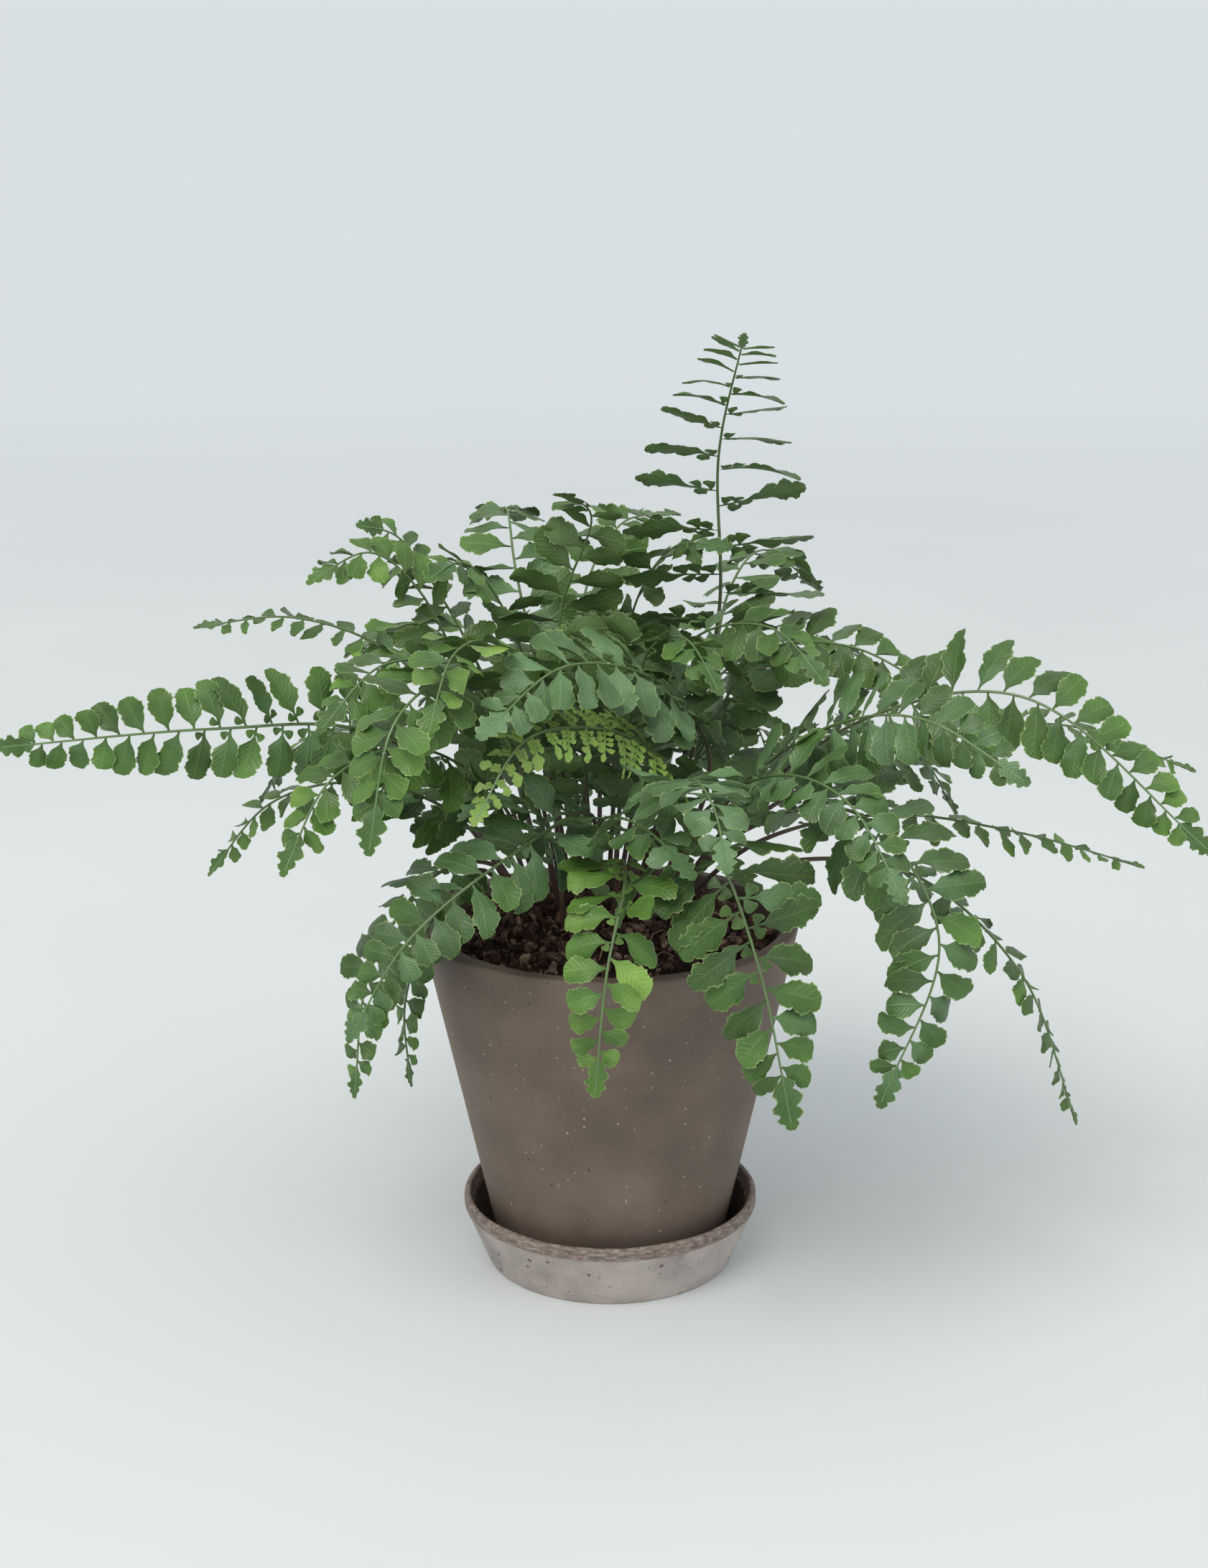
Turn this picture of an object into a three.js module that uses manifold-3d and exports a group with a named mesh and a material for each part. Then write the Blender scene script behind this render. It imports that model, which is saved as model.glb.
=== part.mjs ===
// A potted spleenwort fern: a tapered clay pot in its saucer, the soil, and each frond of the plant.
// Millimetres, +Z up. The origin is the middle of the saucer's underside, and -Y is the plant's front.
import * as THREE from 'three';
import { mergeVertices } from 'three/addons/utils/BufferGeometryUtils.js';
import Module from 'manifold-3d';

// Driving dimensions
const roundSides = 24; // flats round the pot and the saucer
const touchGap = 0.3; // between pieces that touch
const saucerSize = {
  baseRadius: 46.5, lipRadius: 55.5, height: 26, wall: 3, floor: 4.5, floorRadius: 44.5, lipBand: 5,
  lipRound: 2.4,
};
const potSize = {
  baseRadius: 42.5, rimRadius: 70, height: 128, wall: 6.2, floor: 7, drainRadius: 6.5, edgeRound: 1,
};
const soilSize = { edgeDrop: 6, moundHeight: 12, crownRadius: 33, rough: 1.1 };
const soilSeed = 7;
const rootHeight = 130; // where the bare stalks end, down in the soil
const holeReach = 18; // length of each stalk's hole
const holeOverrun = 2; // how far its cutter stands out of the soil
const stalk = { halfWidth: 1.0, halfThick: 0.9, tipHalfWidth: 0.5, tipHalfThick: 0.4, sections: 2 };
const leafHalfThick = 0.36; // a leaflet is 0.72 mm thick
const fillShare = 0.47; // half a leaflet's width, as a share of the spacing across it
const tipDroop = 0.12; // how far a leaflet's tip bends down, as a share of its length
const endLobes = { along: 0.4, wide: 0.11 }; // shares of the end leaflet's length and the longest leaflet's
const spread = { base: 82, tip: 58 }; // angle from the midrib in degrees, at the blade's foot and end
const blade = { reach: 0.92, crowding: 1.15 }; // share of it with pairs, and how they crowd to its end
const rollShares = { from: 0.3, to: 0.55 }; // shares of the length between which a blade turns
const variety = { angle: 0.09, length: 0.06, lift: 6 }; // random radians, share and degrees of a leaflet
const keepOff = 3; // how far leaflets stay from the pot

// Leaflet outlines: [along, across], as shares of the length and of half the width. The upper side is
// nearer the frond's tip. foot is the share of the spacing that a leaflet takes on the midrib. The notch
// that parts the ear from the rest is the fan's hub.
const eared = { foot: 0.3, hub: 3, outline: [[0.52, -0.95], [1, 0], [0.66, 0.95], [0.4, 0.4], [0.2, 0.85]] };
const plain = { foot: 1, hub: 1, outline: [[0.66, -0.85], [1, 0], [0.58, 0.85]] };

// Every frond: its root in the crown, the bare share of its length, its longest leaflet, the pairs of
// leaflets, the turn of the blade in degrees, how far its leaflets turn up to the light, their outline,
// and the points that the midrib passes on its way from the root to the tip.
const fronds = [
  { name: 'Crest', root: [6, 10], bare: 0.44, span: 32, pairs: 10, roll: -60, light: 0.75, leaflet: eared,
    way: [[26, 14, 185], [40, 17, 243], [39, 8, 302], [46, -24, 348]] },
  { name: 'MiddleArch', root: [14, -1], bare: 0.36, span: 27, pairs: 10, roll: -42, light: 0.1, leaflet: eared,
    way: [[36, -14, 196], [18, -34, 229], [-15, -70, 243], [-42, -102, 226]] },
  { name: 'Young', root: [4, -10], bare: 0.4, span: 17, pairs: 9, roll: -55, light: 0.1, leaflet: plain,
    way: [[20, -46, 200], [4, -60, 218], [-26, -82, 222], [-44, -104, 198]] },
  { name: 'Nose', root: [5, -14], bare: 0.36, span: 25, pairs: 8, roll: 0, light: 0, leaflet: eared,
    way: [[18, -44, 186], [27, -90, 210], [33, -122, 208], [36, -144, 194]] },
  { name: 'FrontBlue', root: [7, -19], bare: 0.34, span: 32, pairs: 9, roll: 18, light: 0, leaflet: eared,
    way: [[18, -42, 172], [35, -82, 182], [48, -104, 152], [60, -112, 96]] },
  { name: 'FrontBright', root: [0, -20], bare: 0.34, span: 21, pairs: 9, roll: -6, light: 0, leaflet: eared,
    way: [[4, -46, 168], [5, -84, 172], [-1, -104, 148], [-5, -108, 106]] },
  { name: 'RightFront', root: [13, -13], bare: 0.36, span: 26, pairs: 9, roll: 35, light: 0, leaflet: eared,
    way: [[42, -30, 172], [84, -78, 194], [107, -102, 160], [88, -110, 103]] },
  { name: 'LeftFan', root: [-13, -17], bare: 0.3, span: 22, pairs: 8, roll: -10, light: 0, leaflet: eared,
    way: [[-6, -40, 184], [-33, -76, 180], [-66, -96, 157], [-87, -98, 122]] },
  { name: 'LowLeft', root: [-16, -20], bare: 0.28, span: 26, pairs: 7, roll: 0, light: 0.2, leaflet: plain,
    way: [[-19, -38, 172], [-27, -56, 192], [-38, -72, 200], [-50, -84, 194]] },
  { name: 'LowMiddle', root: [-7, -18], bare: 0.32, span: 27, pairs: 8, roll: 0, light: 0.3, leaflet: eared,
    way: [[-4, -40, 178], [2, -64, 190], [14, -84, 190], [28, -98, 178]] },
  { name: 'LeftLong', root: [-21, -6], bare: 0.34, span: 24, pairs: 10, roll: -72, light: 0, leaflet: eared,
    way: [[-50, -18, 184], [-86, -34, 213], [-134, -52, 218], [-207, -62, 214]] },
  { name: 'RightLong', root: [15, -5], bare: 0.34, span: 22, pairs: 10, roll: 55, light: 0, leaflet: eared,
    way: [[48, -6, 176], [92, -20, 214], [142, -42, 226], [203, -70, 178]] },
  { name: 'RightBlue', root: [10, -7], bare: 0.34, span: 23, pairs: 9, roll: 55, light: 0, leaflet: eared,
    way: [[40, -18, 180], [72, -48, 216], [102, -82, 228], [134, -106, 212]] },
  { name: 'RightDroop', root: [18, -9], bare: 0.36, span: 16, pairs: 8, roll: 0, light: 0, leaflet: plain,
    way: [[54, -18, 158], [104, -36, 162], [143, -50, 130], [165, -56, 74]] },
  { name: 'RightMiddle', root: [18, 1], bare: 0.34, span: 19, pairs: 8, roll: 0, light: 0.2, leaflet: plain,
    way: [[54, 0, 162], [100, -5, 174], [146, -18, 171], [191, -26, 160]] },
  { name: 'LeftHigh', root: [-24, -1], bare: 0.32, span: 18, pairs: 8, roll: -10, light: 0.85, leaflet: plain,
    way: [[-50, 6, 196], [-78, 4, 232], [-112, -4, 247], [-147, -12, 245]] },
  { name: 'LeftFront', root: [-16, -9], bare: 0.32, span: 28, pairs: 9, roll: -15, light: 0, leaflet: eared,
    way: [[-30, -36, 200], [-52, -78, 240], [-68, -104, 232], [-76, -118, 192]] },
  { name: 'LeftBright', root: [-9, -7], bare: 0.32, span: 27, pairs: 9, roll: 0, light: 0.2, leaflet: eared,
    way: [[-18, -22, 200], [-36, -52, 246], [-50, -82, 250], [-58, -106, 226]] },
  { name: 'LeftMiddle', root: [-20, -9], bare: 0.28, span: 26, pairs: 8, roll: -20, light: 0, leaflet: plain,
    way: [[-40, -28, 188], [-68, -54, 212], [-92, -74, 206], [-108, -88, 176]] },
  { name: 'LeftLow', root: [-27, -6], bare: 0.3, span: 20, pairs: 8, roll: -20, light: 0.3, leaflet: plain,
    way: [[-56, -10, 176], [-92, -18, 190], [-120, -24, 184], [-143, -28, 158]] },
  { name: 'LeftDroop', root: [-20, -13], bare: 0.34, span: 18, pairs: 9, roll: -10, light: 0, leaflet: plain,
    way: [[-42, -32, 164], [-62, -50, 164], [-82, -66, 136], [-88, -74, 92]] },
  { name: 'LeftUnder', root: [-26, -12], bare: 0.36, span: 15, pairs: 7, roll: 0, light: 0, leaflet: plain,
    way: [[-46, -20, 158], [-60, -32, 148], [-72, -46, 118], [-70, -54, 88]] },
  { name: 'TopMiddle', root: [-10, 4], bare: 0.28, span: 25, pairs: 8, roll: 10, light: 0.4, leaflet: plain,
    way: [[-18, 6, 200], [-17, 9, 248], [-6, 0, 282], [-18, -24, 294]] },
  { name: 'TopBack', root: [-4, 12], bare: 0.28, span: 25, pairs: 7, roll: 0, light: 0.4, leaflet: plain,
    way: [[-4, 28, 200], [-9, 42, 246], [4, 58, 270], [28, 90, 270]] },
  { name: 'TopRight', root: [-1, 8], bare: 0.28, span: 27, pairs: 8, roll: 15, light: 0.4, leaflet: plain,
    way: [[4, 16, 206], [10, 20, 248], [24, 10, 270], [44, -8, 272]] },
  { name: 'TopLeft', root: [-13, 9], bare: 0.28, span: 25, pairs: 8, roll: -15, light: 0.4, leaflet: plain,
    way: [[-26, 18, 210], [-40, 14, 250], [-52, 0, 266], [-64, -18, 262]] },
  { name: 'BackArch', root: [-16, 12], bare: 0.28, span: 24, pairs: 8, roll: 0, light: 0.4, leaflet: plain,
    way: [[-26, 26, 215], [-35, 42, 258], [-38, 62, 274], [-44, 118, 266]] },
  { name: 'LeftRise', root: [-20, 8], bare: 0.34, span: 19, pairs: 8, roll: -20, light: 0.75, leaflet: plain,
    way: [[-44, 26, 212], [-64, 36, 250], [-78, 34, 270], [-92, 22, 276]] },
  { name: 'LeftCrown', root: [-22, 3], bare: 0.34, span: 21, pairs: 8, roll: -15, light: 0.5, leaflet: plain,
    way: [[-50, 16, 212], [-70, 18, 254], [-86, 10, 268], [-108, 0, 258]] },
  { name: 'RightHigh', root: [9, 3], bare: 0.32, span: 24, pairs: 8, roll: 30, light: 0.2, leaflet: plain,
    way: [[34, 8, 196], [56, 6, 232], [86, -4, 236], [122, -14, 218]] },
  { name: 'RightInner', root: [10, -12], bare: 0.28, span: 23, pairs: 8, roll: 25, light: 0, leaflet: plain,
    way: [[32, -28, 180], [58, -62, 204], [78, -92, 202], [94, -118, 176]] },
  { name: 'RightBack', root: [16, 6], bare: 0.34, span: 20, pairs: 7, roll: 15, light: 0.5, leaflet: plain,
    way: [[60, 13, 172], [112, 24, 192], [168, 30, 199], [222, 32, 180]] },
  { name: 'RightRear', root: [9, 14], bare: 0.32, span: 25, pairs: 7, roll: 0, light: 0.3, leaflet: plain,
    way: [[36, 36, 202], [46, 62, 244], [60, 86, 256], [86, 116, 234]] },
  { name: 'Middle', root: [-5, -5], bare: 0.3, span: 25, pairs: 8, roll: 0, light: 0.3, leaflet: plain,
    way: [[-9, -14, 200], [-12, -26, 230], [-22, -44, 234], [-34, -62, 216]] },
  { name: 'MiddleRight', root: [1, -6], bare: 0.3, span: 25, pairs: 8, roll: 0, light: 0.3, leaflet: plain,
    way: [[6, -14, 202], [14, -20, 238], [26, -38, 246], [38, -58, 230]] },
  { name: 'InnerLeft', root: [-14, -2], bare: 0.26, span: 26, pairs: 8, roll: -20, light: 0.3, leaflet: plain,
    way: [[-30, -8, 196], [-52, -28, 232], [-76, -52, 240], [-96, -76, 222]] },
  { name: 'InnerRight', root: [3, -1], bare: 0.26, span: 26, pairs: 8, roll: 25, light: 0.3, leaflet: plain,
    way: [[16, -6, 200], [28, 0, 236], [56, -30, 248], [74, -52, 232]] },
  { name: 'SideLeft', root: [-27, 6], bare: 0.3, span: 24, pairs: 7, roll: -10, light: 0.2, leaflet: plain,
    way: [[-58, 20, 172], [-94, 42, 192], [-120, 58, 186], [-138, 68, 158]] },
  { name: 'SideRight', root: [14, 14], bare: 0.3, span: 24, pairs: 7, roll: 10, light: 0.2, leaflet: plain,
    way: [[48, 34, 172], [90, 62, 188], [122, 84, 176], [142, 98, 144]] },
  { name: 'RearLeft', root: [-22, 14], bare: 0.32, span: 26, pairs: 7, roll: 0, light: 0.3, leaflet: plain,
    way: [[-42, 40, 198], [-64, 66, 226], [-86, 88, 226], [-108, 104, 202]] },
  { name: 'RearMiddle', root: [-10, 16], bare: 0.32, span: 26, pairs: 7, roll: 0, light: 0.2, leaflet: plain,
    way: [[-14, 44, 196], [-18, 84, 230], [-10, 118, 232], [-4, 144, 204]] },
  { name: 'RearRight', root: [5, 17], bare: 0.32, span: 26, pairs: 7, roll: 0, light: 0.2, leaflet: plain,
    way: [[26, 50, 194], [64, 88, 218], [96, 110, 212], [120, 128, 180]] },
  { name: 'BackMiddle', root: [-8, 22], bare: 0.3, span: 27, pairs: 7, roll: 0, light: 0, leaflet: plain,
    way: [[-10, 50, 176], [-12, 94, 190], [-14, 130, 172], [-16, 152, 130]] },
  { name: 'BackRight', root: [2, 21], bare: 0.3, span: 26, pairs: 7, roll: 0, light: 0, leaflet: plain,
    way: [[14, 48, 176], [38, 92, 194], [60, 126, 178], [74, 146, 134]] },
  { name: 'BackLeft', root: [-18, 19], bare: 0.3, span: 26, pairs: 7, roll: 0, light: 0, leaflet: plain,
    way: [[-32, 44, 174], [-60, 84, 192], [-84, 114, 176], [-100, 132, 134]] },
];

const wasm = await Module();
wasm.setup();
const up = new THREE.Vector3(0, 0, 1);
const part = new THREE.Group();

// A repeatable draw between -1 and 1
function seededDraw(seed) {
  let state = seed;
  return () => {
    state = (state * 1664525 + 1013904223) % 4294967296;
    return (state / 4294967296) * 2 - 1;
  };
}

function addPiece(name, geometry, color, roughness) {
  geometry.computeVertexNormals();
  const piece = new THREE.Mesh(geometry, new THREE.MeshStandardMaterial({ color, roughness, metalness: 0 }));
  piece.name = name;
  part.add(piece);
}

// Turned bodies: a profile of [radius, height] pairs, run from the inside out so that faces point outwards
function turned(profile) {
  const points = profile.map(([radius, height]) => new THREE.Vector2(radius, height));
  const geometry = new THREE.LatheGeometry(points, roundSides);
  geometry.rotateX(Math.PI / 2);
  geometry.deleteAttribute('normal');
  geometry.deleteAttribute('uv');
  return mergeVertices(geometry, 1e-4);
}

function saucerGeometry() {
  const { baseRadius, lipRadius, height, wall, floor, floorRadius, lipBand, lipRound } = saucerSize;
  return turned([
    [0, 0], [baseRadius, 0], [lipRadius, height - lipBand], [lipRadius, height - lipRound],
    [lipRadius - lipRound / 2, height], [lipRadius - lipRound, height], [lipRadius - wall, height - lipRound],
    [floorRadius, floor], [0, floor],
  ]);
}

const potBase = saucerSize.floor + touchGap;
const potTop = potBase + potSize.height;
// The pot's inner radius at a height, on its straight taper
function potInside(z) {
  const share = (z - potBase) / potSize.height;
  return potSize.baseRadius + (potSize.rimRadius - potSize.baseRadius) * share - potSize.wall;
}

function potGeometry() {
  const { baseRadius, rimRadius, floor, drainRadius, edgeRound } = potSize;
  const inner = potBase + floor;
  return turned([
    [drainRadius, potBase], [baseRadius - edgeRound, potBase], [baseRadius, potBase + edgeRound],
    [rimRadius, potTop - edgeRound], [rimRadius - edgeRound, potTop], [potInside(potTop) + edgeRound, potTop],
    [potInside(potTop), potTop - edgeRound], [potInside(inner), inner], [drainRadius, inner],
    [drainRadius, potBase],
  ]);
}

// A midrib: frames of point, tangent, side and face along the curve, the side carried without a twist
const frameSteps = 120;
function midrib(frond) {
  const points = [[...frond.root, rootHeight], ...frond.way].map((point) => new THREE.Vector3(...point));
  const curve = new THREE.CatmullRomCurve3(points);
  const [start, end] = [points[0], points[points.length - 1]];
  const side = new THREE.Vector3(start.y - end.y, end.x - start.x, 0).normalize();
  const frames = [];
  for (let step = 0; step <= frameSteps; step += 1) {
    const share = step / frameSteps;
    const tangent = curve.getTangentAt(share);
    side.addScaledVector(tangent, -side.dot(tangent)).normalize();
    const turned = THREE.MathUtils.smoothstep(share, rollShares.from, rollShares.to);
    const turn = THREE.MathUtils.degToRad(frond.roll) * turned;
    const turnedSide = side.clone().applyAxisAngle(tangent, turn);
    const face = tangent.clone().cross(turnedSide);
    frames.push({ point: curve.getPointAt(share), tangent, side: turnedSide, face });
  }
  return { frames, length: curve.getLength() };
}

function frameAt(rib, distance) {
  const place = THREE.MathUtils.clamp(distance / rib.length, 0, 1) * frameSteps;
  const low = Math.min(Math.floor(place), frameSteps - 1);
  const mix = (key) => rib.frames[low][key].clone().lerp(rib.frames[low + 1][key], place - low);
  const share = distance / rib.length;
  return {
    point: mix('point'), tangent: mix('tangent').normalize(), side: mix('side').normalize(),
    face: mix('face').normalize(),
    halfWidth: THREE.MathUtils.lerp(stalk.halfWidth, stalk.tipHalfWidth, share),
    halfThick: THREE.MathUtils.lerp(stalk.halfThick, stalk.tipHalfThick, share),
  };
}

// The blade's taper: length share of a leaflet at a share of the blade, from its foot to its end
function taper(share) {
  const shape = [[0, 0.86], [0.14, 1], [0.4, 0.86], [0.7, 0.58], [1, 0.26]];
  const next = Math.max(1, shape.findIndex(([at]) => at >= share));
  const [[low, from], [high, to]] = [shape[next - 1], shape[next]];
  return THREE.MathUtils.mapLinear(share, low, high, from, to);
}

// Where the pairs of leaflets stand: the foot's two ends, the spread and the size at each
function pairPlaces(frond, rib) {
  const bladeStart = rib.length * frond.bare;
  const reach = (rib.length - bladeStart) * blade.reach;
  const at = (step) => bladeStart + reach * (1 - (1 - step / frond.pairs) ** blade.crowding);
  return Array.from({ length: frond.pairs }, (_, pair) => {
    const [low, high] = [at(pair), at(pair + 1)];
    const share = (pair + 0.5) / frond.pairs;
    const angle = THREE.MathUtils.degToRad(THREE.MathUtils.lerp(spread.base, spread.tip, share));
    const [middle, half] = [(low + high) / 2, ((high - low) * frond.leaflet.foot) / 2];
    return {
      low: middle - half, middle, high: middle + half, angle, length: frond.span * taper(share),
      halfWidth: (high - low) * fillShare * Math.sin(angle),
    };
  });
}

// The end leaflet's frame and its points in space: a lobe on each side of the tip
function endLeaflet(frond, rib) {
  const places = pairPlaces(frond, rib);
  const frame = frameAt(rib, places[places.length - 1].high);
  const tip = frameAt(rib, rib.length).point;
  const middle = frame.point.clone().lerp(tip, endLobes.along);
  const lobe = (sign) => middle.clone().addScaledVector(frame.side, sign * frond.span * endLobes.wide);
  return { frame, points: [lobe(1), tip, lobe(-1)] };
}

// A leaflet's outline points in space, and the direction that its face looks
function leafletPoints(frond, rib, place, sign, lift, size, draw) {
  const frame = frameAt(rib, place.middle);
  const across = frame.side.clone().multiplyScalar(sign * Math.cos(lift));
  across.addScaledVector(frame.face, Math.sin(lift));
  const angle = place.angle + variety.angle * draw();
  const axis = frame.tangent.clone().multiplyScalar(Math.cos(angle)).addScaledVector(across, Math.sin(angle));
  const face = frame.face.clone().multiplyScalar(1 - frond.light).addScaledVector(up, frond.light);
  face.addScaledVector(axis, -face.dot(axis)).normalize();
  const wide = axis.clone().cross(face);
  if (wide.dot(frame.tangent) < 0) wide.negate();
  const length = place.length * size * (1 + variety.length * draw());
  const foot = frame.point.clone().addScaledVector(frame.side, sign * frame.halfWidth);
  const points = frond.leaflet.outline.map(([along, over]) => foot.clone()
    .addScaledVector(axis, along * length).addScaledVector(wide, over * place.halfWidth * Math.sqrt(size))
    .addScaledVector(face, -tipDroop * length * along * along));
  return { points, face, flatness: face.dot(frame.face) };
}

// Space that is taken: a grid of small cells, each marked by the frond that is in it or beside it
const cell = 2;
const grid = { low: [-240, -190, 60], count: [250, 190, 150] };
const taken = new Int8Array(grid.count[0] * grid.count[1] * grid.count[2]);
const shared = -1;
function cellIndex(point, offset = [0, 0, 0]) {
  const along = (axis) => Math.floor((point.getComponent(axis) - grid.low[axis]) / cell) + offset[axis];
  const [i, j, k] = [along(0), along(1), along(2)];
  return (k * grid.count[1] + j) * grid.count[0] + i;
}
const beside = [];
for (const i of [-1, 0, 1]) for (const j of [-1, 0, 1]) for (const k of [-1, 0, 1]) beside.push([i, j, k]);
function take(points, owner) {
  for (const point of points) {
    for (const offset of beside) {
      const index = cellIndex(point, offset);
      taken[index] = taken[index] === 0 || taken[index] === owner ? owner : shared;
    }
  }
}
function isFree(points, owner) {
  return points.every((point) => {
    const mark = taken[cellIndex(point)];
    const radius = Math.hypot(point.x, point.y);
    const overPot = point.z < potTop + keepOff && radius < potSize.rimRadius + keepOff;
    const overSoil = radius < potSize.rimRadius && point.z < potTop + soilSize.moundHeight;
    return (mark === 0 || mark === owner) && !overPot && !overSoil;
  });
}

// Points spread over a leaflet's fan of triangles, closer together than two cells
const sampleStep = 1.5;
function fanSamples(corners, hub) {
  const samples = [];
  for (let index = 0; index < corners.length; index += 1) {
    const [b, c] = [corners[index], corners[(index + 1) % corners.length]];
    const count = Math.ceil(Math.max(b.distanceTo(hub), c.distanceTo(hub), b.distanceTo(c)) / sampleStep);
    for (let i = 0; i <= count; i += 1) {
      for (let j = 0; j <= count - i; j += 1) {
        samples.push(hub.clone().addScaledVector(b.clone().sub(hub), i / count)
          .addScaledVector(c.clone().sub(hub), j / count));
      }
    }
  }
  return samples;
}

// A leaflet that would meet another frond is lifted or lowered, then made shorter, and at last left out
const lifts = [0, 12, -12, 24, -24, 36, -36, 50, -50, 65, -65];
const sizes = [1, 0.85, 0.7, 0.55];
const leastFlatness = 0.35; // how alike a leaflet and its frond must face: 1 is the same way
function placeLeaflet(frond, rib, place, sign, owner, seed) {
  const feet = [place.low, place.high].map((distance) => {
    const frame = frameAt(rib, distance);
    return frame.point.clone().addScaledVector(frame.side, sign * frame.halfWidth);
  });
  for (const size of sizes) {
    for (const lift of lifts) {
      const draw = seededDraw(seed);
      const angle = THREE.MathUtils.degToRad(lift + variety.lift * (draw() - 1));
      const { points, face, flatness } = leafletPoints(frond, rib, place, sign, angle, size, draw);
      if (flatness < leastFlatness) continue;
      const samples = fanSamples([feet[0], ...points, feet[1]], points[frond.leaflet.hub]);
      if (isFree(samples, owner)) {
        take(samples, owner);
        return { points, face };
      }
    }
  }
  return null;
}

// A frond as one thin body: the boundary runs up the left, round the tip and down the right, and the same
// triangles close it above and below
function frondGeometry(frond, rib, leaflets) {
  const positions = [];
  const faces = [];
  const addPoint = (point, face, half) => {
    positions.push(...point.clone().addScaledVector(face, half).toArray());
    positions.push(...point.clone().addScaledVector(face, -half).toArray());
    return positions.length / 6 - 1;
  };
  const addFace = (a, b, c) => faces.push(2 * a, 2 * b, 2 * c, 2 * a + 1, 2 * c + 1, 2 * b + 1);
  const addWall = (a, b) => faces.push(2 * a, 2 * b, 2 * a + 1, 2 * b, 2 * b + 1, 2 * a + 1);

  const bladeStart = rib.length * frond.bare;
  const places = pairPlaces(frond, rib);
  const distances = [0, holeReach - 1];
  for (let step = 1; step <= stalk.sections; step += 1) {
    distances.push(THREE.MathUtils.lerp(holeReach - 1, bladeStart, step / stalk.sections) - 1);
  }
  const stations = distances.map((distance) => ({ distance }));
  places.forEach((place, pair) => {
    stations.push({ distance: place.low, pair });
    const isLast = pair === places.length - 1;
    if (isLast || frond.leaflet.foot < 1) stations.push({ distance: place.high });
  });
  const sides = { 1: [], '-1': [] };
  let before = null;
  for (const station of stations) {
    const frame = frameAt(rib, station.distance);
    const [left, right] = [1, -1].map((sign) => addPoint(
      frame.point.clone().addScaledVector(frame.side, sign * frame.halfWidth), frame.face, frame.halfThick));
    if (before) {
      addFace(before.left, before.right, right);
      addFace(before.left, right, left);
      for (const sign of [1, -1]) {
        const [from, to] = sign > 0 ? [before.left, left] : [before.right, right];
        const leaflet = before.pair === undefined ? null : leaflets[before.pair][sign];
        if (leaflet) {
          const ring = leaflet.points.map((point) => addPoint(point, leaflet.face, leafHalfThick));
          const hub = ring[frond.leaflet.hub];
          const chain = [from, ...ring, to];
          const open = sign > 0 ? chain : [...chain].reverse();
          open.forEach((corner, index) => {
            const next = open[(index + 1) % open.length];
            if (corner !== hub && next !== hub) addFace(hub, next, corner);
          });
          sides[sign].push(...ring);
        }
        sides[sign].push(to);
      }
    } else {
      sides[1].push(left);
      sides[-1].push(right);
    }
    before = { left, right, pair: station.pair };
  }

  const { frame, points } = endLeaflet(frond, rib);
  const tips = points.map((point) => addPoint(point, frame.face, leafHalfThick));
  addFace(tips[1], before.left, before.right);
  addFace(tips[1], tips[0], before.left);
  addFace(tips[1], before.right, tips[2]);

  const boundary = [...sides[1], ...tips, ...sides[-1].reverse()];
  boundary.forEach((corner, index) => addWall(corner, boundary[(index + 1) % boundary.length]));
  const geometry = new THREE.BufferGeometry();
  geometry.setAttribute('position', new THREE.Float32BufferAttribute(positions, 3));
  geometry.setIndex(faces);
  return geometry;
}

// The hole that a stalk stands in: its own four sides, let out by the gap and run past both ends
function stalkHole(rib) {
  const [low, high] = [frameAt(rib, 0), frameAt(rib, holeReach - 1)];
  const along = high.point.clone().sub(low.point).normalize();
  const ends = [
    low.point.clone().addScaledVector(along, -touchGap), high.point.clone().addScaledVector(along, holeOverrun),
  ];
  const corners = ends.flatMap((end) => [[1, 1], [1, -1], [-1, -1], [-1, 1]].map(([i, j]) => end.clone()
    .addScaledVector(low.side, i * (low.halfWidth + touchGap))
    .addScaledVector(low.face, j * (low.halfThick + touchGap)).toArray()));
  const geometry = new THREE.BufferGeometry();
  geometry.setAttribute('position', new THREE.Float32BufferAttribute(corners.flat(), 3));
  const walls = [0, 1, 2, 3].flatMap((i) => {
    const next = (i + 1) % 4;
    return [i, i + 4, next, next, i + 4, next + 4];
  });
  geometry.setIndex([0, 1, 2, 0, 2, 3, 4, 6, 5, 4, 7, 6, ...walls]);
  return geometry;
}

function solidOf(geometry) {
  const mesh = new wasm.Mesh({
    numProp: 3, vertProperties: new Float32Array(geometry.getAttribute('position').array),
    triVerts: new Uint32Array(geometry.getIndex().array),
  });
  return new wasm.Manifold(mesh);
}
function geometryOf(solid) {
  const mesh = solid.getMesh();
  const geometry = new THREE.BufferGeometry();
  geometry.setAttribute('position', new THREE.BufferAttribute(new Float32Array(mesh.vertProperties), 3));
  geometry.setIndex(new THREE.BufferAttribute(new Uint32Array(mesh.triVerts), 1));
  return geometry;
}

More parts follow.
